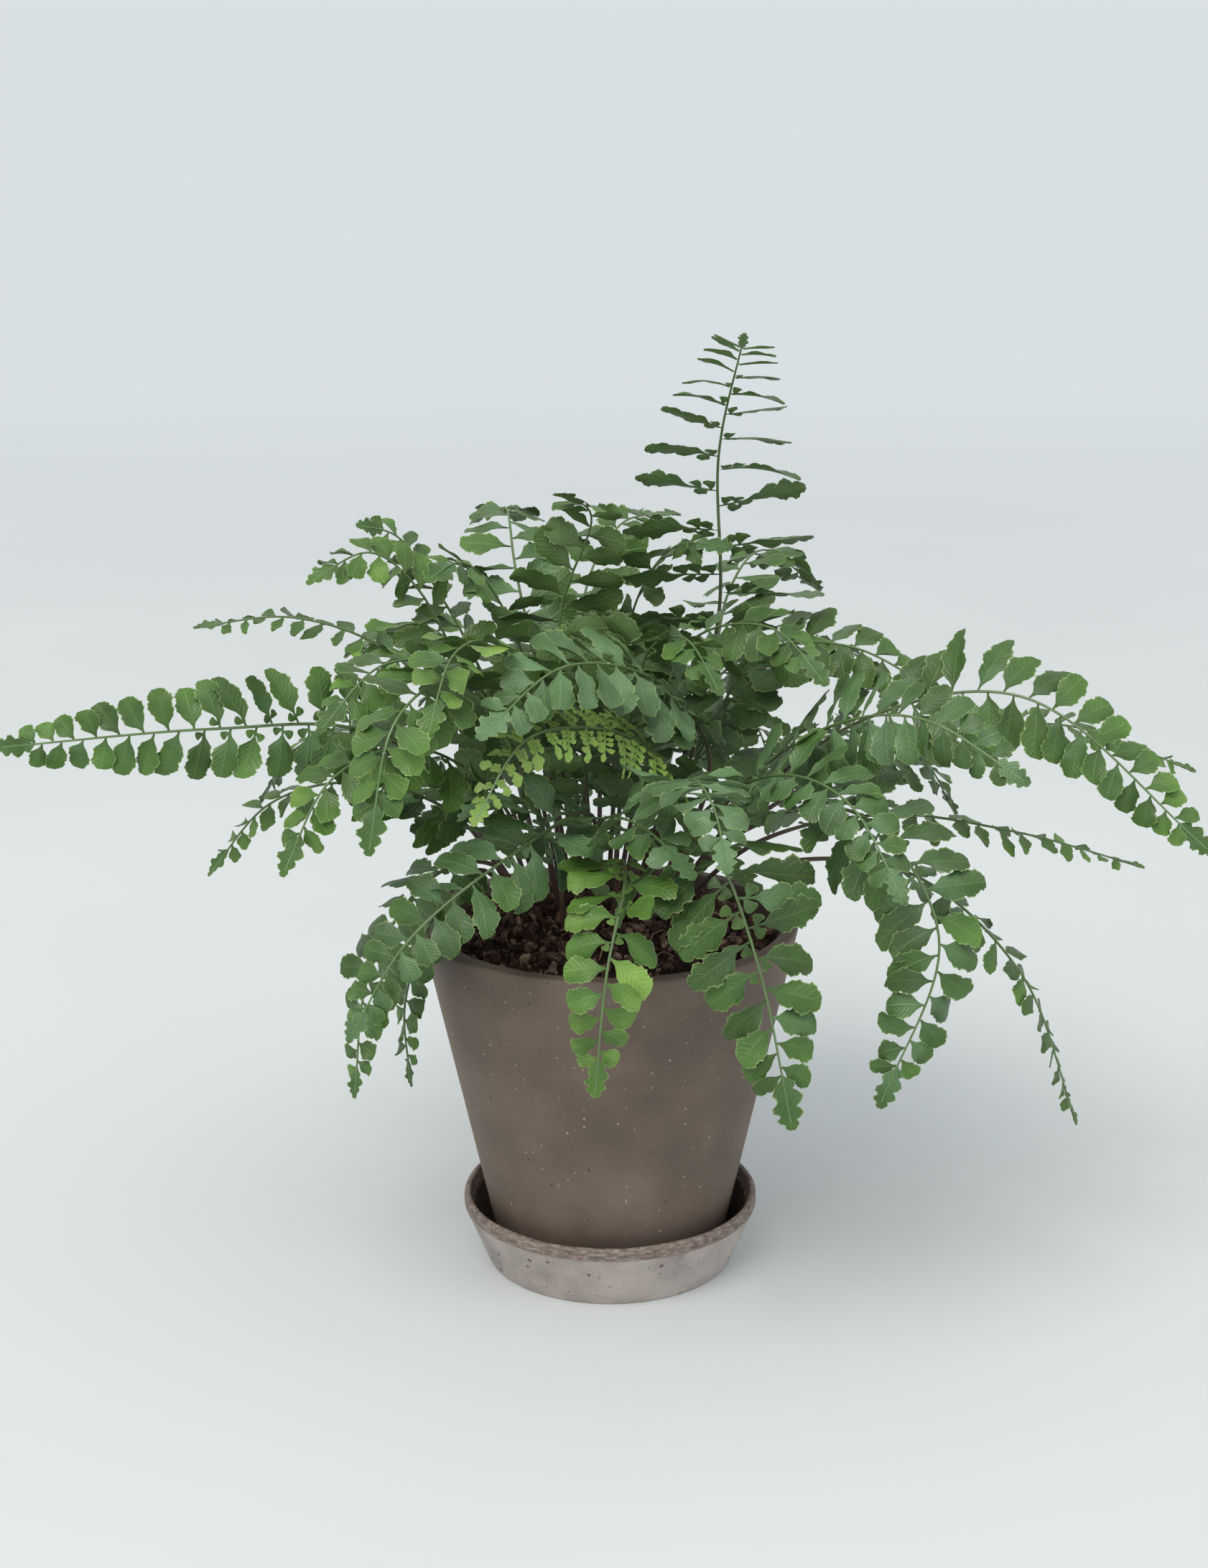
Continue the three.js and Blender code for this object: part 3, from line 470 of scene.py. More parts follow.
def soilTop(x, y):
    # The mound's height: flat over the crown, then an easy slope to the pot's wall, with random relief
    radius = np.hypot(x, y)
    rise = soilSize["moundHeight"] * (1 - smoothstep(soilSize["crownRadius"] - 8, soilRadius + 4, radius))
    relief = ripple(x, y, 13, 5) * 0.8 + ripple(x, y, 5, 6) * 0.6
    return soilEdge + rise + soilSize["rough"] * relief - 1.6


def addSoil():
    # the root ball fills the pot, and its top is the mound
    bottom = potSize["base"] + potSize["floor"] + 0.3
    wall = [(potInside(z) - 0.4, z) for z in np.linspace(bottom, soilEdge - 2, 8)]
    top = [(radius, soilEdge) for radius in np.linspace(soilRadius, 1.4, 44)]
    points, faces = turned([(0, bottom), *wall, *top, (0, soilEdge)], 120)
    upper = points[:, 2] > soilEdge - 1
    points[upper, 2] = soilTop(points[upper, 0], points[upper, 1])
    return newPiece("pottingSoil", points * mm, faces, [soilMaterial], sharp=60)


def onSoil(rng, count, margin):
    # random places on the mound, evenly spread: the square root makes up for the longer outer rings
    radius = (soilRadius - margin) * rng.uniform(0, 1, count) ** 0.5
    angle = rng.uniform(0, 2 * math.pi, count)
    x, y = radius * np.cos(angle), radius * np.sin(angle)
    return np.stack([x, y, soilTop(x, y)], 1)


def addCrumbs(size):
    # Each crumb is a 20-sided solid whose 12 corners are pushed in and out by random amounts
    gold = (1 + 5 ** 0.5) / 2
    corners = unit(np.array([(-1, gold, 0), (1, gold, 0), (-1, -gold, 0), (1, -gold, 0), (0, -1, gold),
                             (0, 1, gold), (0, -1, -gold), (0, 1, -gold), (gold, 0, -1), (gold, 0, 1),
                             (-gold, 0, -1), (-gold, 0, 1)]))
    shell = np.array([(0, 11, 5), (0, 5, 1), (0, 1, 7), (0, 7, 10), (0, 10, 11), (1, 5, 9), (5, 11, 4),
                      (11, 10, 2), (10, 7, 6), (7, 1, 8), (3, 9, 4), (3, 4, 2), (3, 2, 6), (3, 6, 8),
                      (3, 8, 9), (4, 9, 5), (2, 4, 11), (6, 2, 10), (8, 6, 7), (9, 8, 1)])
    rng = np.random.default_rng(41)
    count = size["count"]
    least, more, power = size["girth"]
    girth = least + more * rng.uniform(0, 1, count) ** power
    stretch = rng.uniform(*size["stretch"], (count, 1, 3))
    lumps = rng.uniform(*size["lumps"], (count, 12, 1))
    turn = np.linalg.qr(rng.normal(size=(count, 3, 3)))[0]
    turn[np.linalg.det(turn) < 0] *= -1
    shape = (corners * lumps * stretch) @ turn * girth[:, None, None]
    places = onSoil(rng, count, size["margin"])
    places[:, 2] += girth * size["raised"]
    faces = shell[None] + 12 * np.arange(count)[:, None, None]
    own = np.repeat(rng.uniform(0, 1, count), 12)
    return newPiece("soilCrumbs", (shape + places[:, None]).reshape(-1, 3) * mm, [faces.reshape(-1, 3)],
                    [soilMaterial], values={"crumbTone": own}, smooth=False)


def tubes(path, sideways, upwards, radius, sides, groove=0.0):
    # A round profile carried along each path: point + r (side cos a + face sin a); a groove draws in its top.
    # path (k, n, 3), radius (k, n). Both ends are closed by three quads, so sides is 8, or by one for 4.
    count, length = path.shape[:2]
    angles = np.arange(sides) * 2 * math.pi / sides
    dent = 1 - groove * np.exp(-((angles - math.pi / 2) / 0.5) ** 2)
    ring = (sideways[:, :, None] * (np.cos(angles) * dent)[:, None]
            + upwards[:, :, None] * (np.sin(angles) * dent)[:, None])
    points = path[:, :, None] + ring * radius[:, :, None, None]
    index = np.arange(length * sides).reshape(length, sides)
    around = np.roll(index, -1, 1)
    quads = np.stack([index[:-1], around[:-1], around[1:], index[1:]], -1).reshape(-1, 4)
    cap = np.array([(0, 1, 2, 3), (0, 3, 4, 7), (7, 4, 5, 6)][:sides // 2 - 1])
    quads = np.vstack([quads, cap[:, ::-1], cap + (length - 1) * sides])
    faces = quads[None] + (length * sides) * np.arange(count)[:, None, None]
    return points.reshape(-1, 3), faces.reshape(-1, 4)


def addFibres(size):
    # Each fibre is a thin tube along a short wavering line that lies on the mound
    rng = np.random.default_rng(43)
    count, steps = size["count"], size["steps"]
    start = onSoil(rng, count, size["margin"])
    heading = rng.uniform(0, 2 * math.pi, (count, 1))
    heading = heading + np.cumsum(rng.normal(0, size["bend"], (count, steps)), 1)
    stride = rng.uniform(*size["stride"], (count, 1))
    x = start[:, :1] + np.cumsum(np.cos(heading) * stride, 1)
    y = start[:, 1:2] + np.cumsum(np.sin(heading) * stride, 1)
    inside = np.minimum(1, (soilRadius - 3) / np.hypot(x, y))
    x, y = x * inside, y * inside
    least, more = size["lift"]
    lift = least + more * rng.uniform(0, 1, (count, 1)) * np.sin(np.linspace(0, math.pi, steps))
    path = np.stack([x, y, soilTop(x, y) + lift], -1)
    tangent = unit(np.gradient(path, axis=1))
    sideways = unit(np.cross(tangent, up))
    radius = rng.uniform(*size["radius"], (count, 1)) * np.linspace(1.1, 0.7, steps)
    points, faces = tubes(path, sideways, np.cross(sideways, tangent), radius, 4)
    return newPiece("coirStrands", points * mm, [faces], [fibreMaterial])


soil, crumbs, strands = addSoil(), addCrumbs(crumbSize), addFibres(fibreSize)
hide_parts("soil")
for piece in (soil, crumbs, strands):
    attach(piece, "root")
print("soil made")


# fronds
# A row says where the frond is rooted, the bare share of its length, its longest leaflet, the turn of its
# blade in degrees, how far its leaflets turn up to the light, the pairs of free pinnules on the lowest of
# them, its tone from blue green 0 to young yellow green 1, and the points that its midrib passes.
# The lowest tones, on Nose, MiddleArch, LowLeft and LowMiddle, also paint in light: sky sheen on leaflets
# that face up, and light passing through the leaves above.
frondKeys = ("root", "bare", "span", "roll", "light", "free", "tone", "way")
frondRows = {
    "Crest": ((6, 10), 0.44, 38, -56, 0.6, 3.2, 0.2,
        ((26, 14, 185), (40, 17, 243), (39, 8, 302), (46, -24, 348))),
    "MiddleArch": ((14, -1), 0.36, 27, -42, 0.1, 1.8, 0.0,
        ((36, -14, 196), (18, -34, 229), (-15, -70, 243), (-42, -102, 226))),
    "Young": ((4, -10), 0.4, 17, -55, 0.1, 5, 0.95,
        ((20, -46, 200), (4, -60, 218), (-26, -82, 222), (-44, -104, 198))),
    "Nose": ((5, -14), 0.36, 24, 0, 0, 0.8, 0,
        ((18, -44, 186), (27, -90, 210), (33, -122, 208), (36, -144, 194))),
    "FrontBlue": ((7, -19), 0.34, 32, 18, 0, 2.4, 0.3,
        ((18, -42, 172), (35, -82, 182), (48, -104, 152), (60, -112, 96))),
    "FrontBright": ((0, -20), 0.34, 23, -6, 0, 2, 0.6,
        ((4, -46, 168), (5, -84, 172), (-1, -104, 148), (-5, -108, 106))),
    "RightFront": ((13, -13), 0.36, 26, 35, 0, 1.8, 0.2,
        ((42, -30, 172), (84, -78, 194), (107, -102, 160), (88, -110, 103))),
    "LeftFan": ((-13, -17), 0.3, 22, -10, 0, 1.2, 0.15,
        ((-6, -40, 184), (-33, -76, 180), (-66, -96, 157), (-87, -98, 122))),
    "LowLeft": ((-16, -20), 0.28, 26, 0, 0.2, 2, 0.02,
        ((-19, -38, 172), (-27, -56, 192), (-38, -72, 200), (-50, -84, 194))),
    "LowMiddle": ((-7, -18), 0.32, 27, 0, 0.3, 2, 0.06,
        ((-4, -40, 178), (2, -64, 190), (14, -84, 190), (28, -98, 178))),
    "LeftLong": ((-21, -6), 0.34, 23, -72, 0, 2.2, 0.34,
        ((-50, -18, 184), (-86, -34, 213), (-134, -52, 218), (-207, -62, 214))),
    "RightLong": ((15, -5), 0.34, 25, 55, 0, 1, 0.34,
        ((48, -6, 176), (92, -20, 214), (142, -42, 226), (203, -70, 178))),
    "RightBlue": ((10, -7), 0.34, 23, 55, 0, 1.2, 0.1,
        ((40, -18, 180), (72, -48, 216), (102, -82, 228), (134, -106, 212))),
    "RightDroop": ((18, -9), 0.36, 18, 0, 0.1, 0.6, 0.32,
        ((54, -18, 158), (104, -36, 162), (143, -50, 130), (165, -56, 74))),
    "RightMiddle": ((18, 1), 0.34, 19, 0, 0.2, 0.8, 0.5,
        ((54, 0, 162), (100, -5, 174), (146, -18, 171), (191, -26, 160))),
    "LeftHigh": ((-24, -1), 0.32, 18, -10, 0.85, 0.8, 0.25,
        ((-50, 6, 196), (-78, 4, 232), (-112, -4, 247), (-147, -12, 245))),
    "LeftFront": ((-16, -9), 0.32, 28, -15, 0, 1.8, 0.38,
        ((-30, -36, 200), (-52, -78, 240), (-68, -104, 232), (-76, -118, 192))),
    "LeftBright": ((-9, -7), 0.32, 27, 0, 0.2, 1.6, 0.52,
        ((-18, -22, 200), (-36, -52, 246), (-50, -82, 250), (-58, -106, 226))),
    "LeftMiddle": ((-20, -9), 0.28, 26, -20, 0, 1.2, 0.4,
        ((-40, -28, 188), (-68, -54, 212), (-92, -74, 206), (-108, -88, 176))),
    "LeftLow": ((-27, -6), 0.3, 20, -20, 0.3, 0.8, 0.48,
        ((-56, -10, 176), (-92, -18, 190), (-120, -24, 184), (-143, -28, 158))),
    "LeftDroop": ((-20, -13), 0.34, 18, -10, 0, 1, 0.3,
        ((-42, -32, 164), (-62, -50, 164), (-82, -66, 136), (-88, -74, 92))),
    "LeftUnder": ((-26, -12), 0.36, 15, 0, 0, 0.8, 0.35,
        ((-46, -20, 158), (-60, -32, 148), (-72, -46, 118), (-70, -54, 88))),
    "TopMiddle": ((-10, 4), 0.28, 30, 10, 0.2, 0.8, 0.3,
        ((-18, 6, 200), (-17, 9, 248), (-6, 0, 282), (-18, -24, 294))),
    "TopBack": ((-4, 12), 0.28, 27, 0, 0.3, 1, 0.3,
        ((-4, 28, 200), (-9, 42, 246), (4, 58, 270), (28, 90, 270))),
    "TopRight": ((-1, 8), 0.28, 30, 15, 0.3, 1, 0.22,
        ((4, 16, 206), (10, 20, 248), (24, 10, 270), (44, -8, 272))),
    "TopLeft": ((-13, 9), 0.28, 29, -15, 0.3, 1, 0.35,
        ((-26, 18, 210), (-40, 14, 250), (-52, 0, 266), (-64, -18, 262))),
    "BackArch": ((-16, 12), 0.28, 26, 0, 0.4, 1, 0.2,
        ((-26, 26, 215), (-35, 42, 258), (-38, 62, 274), (-44, 118, 266))),
    "LeftRise": ((-20, 8), 0.34, 21, -20, 0.75, 0.8, 0.35,
        ((-44, 26, 212), (-64, 36, 250), (-78, 34, 270), (-92, 22, 276))),
    "LeftCrown": ((-22, 3), 0.34, 23, -15, 0.5, 1, 0.5,
        ((-50, 16, 212), (-70, 18, 254), (-86, 10, 268), (-108, 0, 258))),
    "RightHigh": ((9, 3), 0.32, 24, 30, 0.2, 1.2, 0.28,
        ((34, 8, 196), (56, 6, 232), (86, -4, 236), (122, -14, 218))),
    "RightInner": ((10, -12), 0.28, 23, 25, 0, 1.2, 0.12,
        ((32, -28, 180), (58, -62, 204), (78, -92, 202), (94, -118, 176))),
    "RightBack": ((16, 6), 0.34, 20, 15, 0.5, 0.8, 0.35,
        ((60, 13, 172), (112, 24, 192), (168, 30, 199), (222, 32, 180))),
    "RightRear": ((9, 14), 0.32, 25, 0, 0.3, 1, 0.3,
        ((36, 36, 202), (46, 62, 244), (60, 86, 256), (86, 116, 234))),
    "Middle": ((-5, -5), 0.3, 25, 0, 0.3, 1.4, 0.3,
        ((-9, -14, 200), (-12, -26, 230), (-22, -44, 234), (-34, -62, 216))),
    "MiddleRight": ((1, -6), 0.3, 25, 0, 0.3, 1.2, 0.3,
        ((6, -14, 202), (14, -20, 238), (26, -38, 246), (38, -58, 230))),
    "InnerLeft": ((-14, -2), 0.26, 26, -20, 0.3, 1.2, 0.35,
        ((-30, -8, 196), (-52, -28, 232), (-76, -52, 240), (-96, -76, 222))),
    "InnerRight": ((3, -1), 0.26, 26, 25, 0.3, 1.2, 0.25,
        ((16, -6, 200), (28, 0, 236), (56, -30, 248), (74, -52, 232))),
    "SideLeft": ((-27, 6), 0.3, 24, -10, 0.2, 1.2, 0.3,
        ((-58, 20, 172), (-94, 42, 192), (-120, 58, 186), (-138, 68, 158))),
    "SideRight": ((14, 14), 0.3, 24, 10, 0.2, 1.2, 0.25,
        ((48, 34, 172), (90, 62, 188), (122, 84, 176), (142, 98, 144))),
    "RearLeft": ((-22, 14), 0.32, 26, 0, 0.3, 1.2, 0.45,
        ((-42, 40, 198), (-64, 66, 226), (-86, 88, 226), (-108, 104, 202))),
    "RearMiddle": ((-10, 16), 0.32, 26, 0, 0.2, 1.4, 0.4,
        ((-14, 44, 196), (-18, 84, 230), (-10, 118, 232), (-4, 144, 204))),
    "RearRight": ((5, 17), 0.32, 26, 0, 0.2, 1.2, 0.3,
        ((26, 50, 194), (64, 88, 218), (96, 110, 212), (120, 128, 180))),
    "BackMiddle": ((-8, 22), 0.3, 27, 0, 0, 1.6, 0.3,
        ((-10, 50, 176), (-12, 94, 190), (-14, 130, 172), (-16, 152, 130))),
    "BackRight": ((2, 21), 0.3, 26, 0, 0, 1.6, 0.4,
        ((14, 48, 176), (38, 92, 194), (60, 126, 178), (74, 146, 134))),
    "BackLeft": ((-18, 19), 0.3, 26, 0, 0, 1.6, 0.2,
        ((-32, 44, 174), (-60, 84, 192), (-84, 114, 176), (-100, 132, 134))),
}
fronds = {name: dict(zip(frondKeys, row)) for name, row in frondRows.items()}
# spread is the leaflets' angle to the midrib at both ends of the blade; pitch is their spacing, and what it
# gains with their length; fill is their half width as a share of the spacing; broad is the same as a share of
# their length, and what free pinnules take off it; endLeaf is the end leaflet's length, as shares of the
# longest leaflet and of the blade, and its half width as a share of its own length
frondShape = {
    "rootHeight": 130, "steps": 120, "spread": (88, 64), "pitch": (5.2, 0.19), "fill": 0.6,
    "broad": (0.46, 0.07, 0.07), "stalkRadius": (1.1, 0.95, 0.68, 0.3), "stemHalf": 0.42, "thick": 0.5,
    "endLeaf": (0.62, 0.23, 0.28), "greening": 0.26, "leafletRows": {"small": 13, "middle": 17, "large": 23},
}
# how far the leaflets of one frond differ, as shares, degrees (twist, wobble), radians (angle) and ranges
variety = {"length": 0.1, "angle": 0.11, "twist": 13, "droop": (0, 0.34), "wobble": (-4, 6),
           "phase": (0, 6.28), "cup": (-0.15, 0.5), "twirl": 0.34, "sickle": (0, 0.2), "tone": 0.08}
# Free pinnules: more is what is added to their number on the upper and the lower side. The stem's length,
# their first place and their stride are shares of the leaflet, and so is size, less sizeFall a millimetre.
pinnule = {"more": (0.75, 0.35), "stem": 0.05, "first": 0.06, "lower": 0.04, "stride": 0.13, "stretch": 0.02,
           "size": 0.225, "sizeFall": 0.0012, "half": 0.43, "foot": 0.14, "rows": 6,
           "differ": 0.12, "lean": 60, "leanDiffer": 10, "tilt": (-0.1, 0.3), "phase": (0, 6)}
pinnuleForm = {"fine": 0.05, "deep": 0.0, "peak": 1.4, "point": 0.55, "wedge": 0.2, "cup": 0.15, "twirl": 0.0,
               "sickle": 0.0}
endForm = {"fine": 0.04, "deep": 0.42, "peak": 0.78, "point": 0.8, "wedge": 0.12, "cup": 0.1, "twirl": 0.0,
           "phase": 0.5, "sickle": 0.0}
# how a frond's leaflets grow: narrow is their width and calm their disorder, as shares of the usual; end is
# the size of the end leaflet, crowd how much closer they stand towards the tip, and apart their spacing
usualGrowth = {"narrow": 1.0, "calm": 1.0, "end": 1.0, "crowd": 1.15, "apart": 1.0}
ownGrowth = {
    "Crest": {"narrow": 0.74, "calm": 0.3, "end": 0.3, "crowd": 1.85, "apart": 1.5},
    "LeftHigh": {"narrow": 0.65}, "LeftLow": {"narrow": 0.72}, "LeftRise": {"narrow": 0.8},
    "TopLeft": {"narrow": 0.8}, "RightMiddle": {"narrow": 0.65}, "RightDroop": {"narrow": 0.75},
}
# places across a leaf, from edge to edge
columns = np.array([-1, -0.52, 0, 0.52, 1])


def ribOf(frond):
    # The midrib: a centripetal Catmull-Rom curve through the points, cut into equal steps, with a side
    # vector carried along it without a twist and then turned by the blade's roll; the face is tangent x side
    knots = np.array([(*frond["root"], frondShape["rootHeight"]), *frond["way"]], float)
    reach = np.vstack([2 * knots[0] - knots[1], knots, 2 * knots[-1] - knots[-2]])
    share = (np.arange(60) / 60)[:, None]
    line = []
    for a, b, c, d in zip(reach, reach[1:], reach[2:], reach[3:]):
        before, here, after = (np.sum((q - p) ** 2) ** 0.25 for p, q in ((a, b), (b, c), (c, d)))
        leave = here * ((b - a) / before - (c - a) / (before + here) + (c - b) / here)
        arrive = here * ((c - b) / here - (d - b) / (here + after) + (d - c) / after)
        line.append(b + leave * share + (3 * (c - b) - 2 * leave - arrive) * share ** 2
                    + (2 * (b - c) + leave + arrive) * share ** 3)
    line = np.vstack(line + [knots[-1:]])
    run = np.r_[0, np.cumsum(np.linalg.norm(np.diff(line, axis=0), axis=1))]
    steps = frondShape["steps"]
    stations = np.linspace(0, run[-1], steps + 1)
    point = np.stack([np.interp(stations, run, line[:, axis]) for axis in range(3)], 1)
    tangent = unit(np.gradient(point, axis=0))
    side = np.empty_like(point)
    carried = unit(np.array([knots[0, 1] - knots[-1, 1], knots[-1, 0] - knots[0, 0], 0.0]))
    for step in range(steps + 1):
        carried = unit(carried - tangent[step] * (carried @ tangent[step]))
        side[step] = carried
    turn = np.radians(frond["roll"]) * smoothstep(0.3, 0.55, np.linspace(0, 1, steps + 1))[:, None]
    side = side * np.cos(turn) + np.cross(tangent, side) * np.sin(turn)
    return {"length": run[-1], "point": point, "tangent": tangent, "side": side,
            "face": np.cross(tangent, side)}


def ribAt(rib, distance):
    # point, tangent, side and face at distances along the midrib, mixed between its steps
    steps = frondShape["steps"]
    place = np.clip(np.asarray(distance, float) / rib["length"], 0, 1) * steps
    low = np.minimum(place.astype(int), steps - 1)
    mix = (place - low)[..., None]
    point, *axes = (rib[key][low] * (1 - mix) + rib[key][low + 1] * mix
                    for key in ("point", "tangent", "side", "face"))
    return point, *map(unit, axes)


def taper(share):
    # a leaflet's length at a share of the blade, as a share of the longest
    return np.interp(share, [0, 0.14, 0.4, 0.7, 1], [0.9, 1, 0.86, 0.62, 0.3])


def leafletTable(frond, rib, growth, rng):
    # where each leaflet stands on the midrib and how large it is; sides alternate, and they crowd to the tip
    span, light, free = frond["span"], frond["light"], frond["free"]
    start = rib["length"] * frond["bare"]
    ofSpan, ofBlade, _ = frondShape["endLeaf"]
    endLength = growth["end"] * min(ofSpan * span, ofBlade * (rib["length"] - start))
    # the pairs end where the end leaflet begins, and overlap it by a tenth
    reach = rib["length"] - start - endLength * 0.9
    crowd, calm = growth["crowd"], growth["calm"]
    pitch, gain = frondShape["pitch"]
    pairs = round(crowd * reach / (growth["apart"] * (pitch + gain * span)))
    count = 2 * pairs
    sign = np.tile([1.0, -1.0], pairs)
    step = (np.repeat(np.arange(pairs), 2) + np.where(sign > 0, 0.3, 0.7)) / pairs
    share = 1 - (1 - step) ** crowd
    spacing = reach * crowd * (1 - step) ** (crowd - 1) / pairs
    angle = np.radians(np.interp(share, [0, 1], frondShape["spread"]))
    length = span * taper(share) * (1 + variety["length"] * calm * rng.uniform(-1, 1, count))
    # free pinnules get fewer towards the tip, and go the higher the more there are
    free = free * np.clip(1 - share / (0.45 + 0.05 * free ** 2), 0, 1)
    broad, narrowing, lacy = frondShape["broad"]
    broad = broad - narrowing * free - lacy * np.clip(free - 2, 0, 2)
    fill = frondShape["fill"] - 0.03 * free
    # the frond is bluest at its foot and greener towards its tip
    tone = frond["tone"] + frondShape["greening"] * (share - 0.35) + variety["tone"] * rng.normal(size=count)
    return {"sign": sign, "distance": start + reach * share, "length": length,
            "half": growth["narrow"] * np.minimum(spacing * fill * np.sin(angle), length * broad),
            "narrow": growth["narrow"], "angle": angle + variety["angle"] * calm * rng.normal(size=count),
            "light": light, "free": free, "tone": np.clip(tone, 0, 1), "shade": rng.uniform(-1, 1, count),
            "twist": np.radians(variety["twist"] * (1 + light)) * calm * rng.normal(size=count),
            "droop": rng.uniform(*variety["droop"], count),
            "wobble": calm * rng.normal(*variety["wobble"], count),
            "phase": rng.uniform(*variety["phase"], count), "cup": rng.uniform(*variety["cup"], count),
            "twirl": variety["twirl"] * rng.normal(size=count),
            "sickle": rng.uniform(*variety["sickle"], count), "endLength": endLength}


def leafletAxes(rib, table, pick, lift):
    # Axes of the leaflets at pick: the axis leaves the midrib at its angle, lifted off the blade; the face is
    # the blade's, turned to the light and square to the axis; wide lies across, towards the frond's tip
    point, tangent, side, face = ribAt(rib, table["distance"][pick])
    sign, angle = table["sign"][pick][..., None], table["angle"][pick][..., None]
    lift = np.radians(lift + table["wobble"][pick])[..., None]
    across = side * sign * np.cos(lift) + face * np.sin(lift)
    axis = tangent * np.cos(angle) + across * np.sin(angle)
    turned = face * (1 - table["light"]) + up * table["light"]
    turned = unit(turned - axis * dot(turned, axis))
    wide = np.cross(axis, turned)
    wide = wide * np.where(dot(wide, tangent) < 0, -1, 1)
    twist = table["twist"][pick][..., None]
    foot = point + side * sign * 0.4
    return (foot, axis, wide * np.cos(twist) - turned * np.sin(twist),
            turned * np.cos(twist) + wide * np.sin(twist))


# space that is taken, in small cells: 0 is free, else the number of the frond beside it, or -1 for several
cells = {"size": 1.5, "low": np.array([-240, -190, 60]), "count": (330, 250, 200), "potGap": 2, "soilGap": 3}
taken = np.zeros(cells["count"], np.int16)
beside = np.array([(i, j, k) for i in (-1, 0, 1) for j in (-1, 0, 1) for k in (-1, 0, 1)])
# what a leaflet tries, in this order: sizes, and for each of them lifts off the blade in degrees
tries = {"sizes": (1, 0.85, 0.7, 0.55), "lifts": (0, 12, -12, 24, -24, 36, -36, 50, -50, 65, -65)}


def cellsOf(points):
    # the cell that each point lies in
    return np.floor((points - cells["low"]) / cells["size"]).astype(int)


def take(points, owner):
    # marks the cells that the points lie in and all that touch them
    near = np.unique((cellsOf(points)[:, None] + beside).reshape(-1, 3), axis=0)
    held = taken[tuple(near.T)]
    taken[tuple(near.T)] = np.where((held == 0) | (held == owner), owner, -1)


def isFree(points, owner):
    # whether no point lies beside another frond, by the pot's rim or in the soil
    held = taken[tuple(cellsOf(points).T)]
    height, radius = points[:, 2], np.hypot(points[:, 0], points[:, 1])
    onPot = (radius < potSize["rimRadius"] + cells["potGap"]) & (height < potTop + cells["potGap"])
    soilHeight = soilEdge + soilSize["moundHeight"] + cells["soilGap"]
    inSoil = (radius < potSize["rimRadius"]) & (height < soilHeight)
    return not (((held != 0) & (held != owner)) | onPot | inSoil).any()


def bentClear(rib, table, owner):
    # A leaflet that would meet another frond is lifted or lowered, then made shorter, and at last left out
    count = len(table["sign"])
    lifts, sizes = np.zeros(count), np.zeros(count)
    x, y = np.meshgrid(np.linspace(0.12, 1, 11), [-0.8, -0.4, 0, 0.4, 0.8])
    x, y = x.ravel()[:, None], y.ravel()[:, None]
    for index in range(count):
        pick = np.array([index])
        length, half, sickle, droop = (table[key][index] for key in ("length", "half", "sickle", "droop"))
        for size in tries["sizes"]:
            for lift in tries["lifts"]:
                foot, axis, wide, face = leafletAxes(rib, table, pick, lift)
                bow = sickle * length * size * x ** 2
                points = (foot + axis * x * length * size + wide * (y * half * size ** 0.5 + bow)
                          - face * droop * length * size * x ** 2)
                if isFree(points, owner):
                    break
            else:
                continue
            take(points, owner)
            lifts[index], sizes[index] = lift, size
            break
    return lifts, sizes


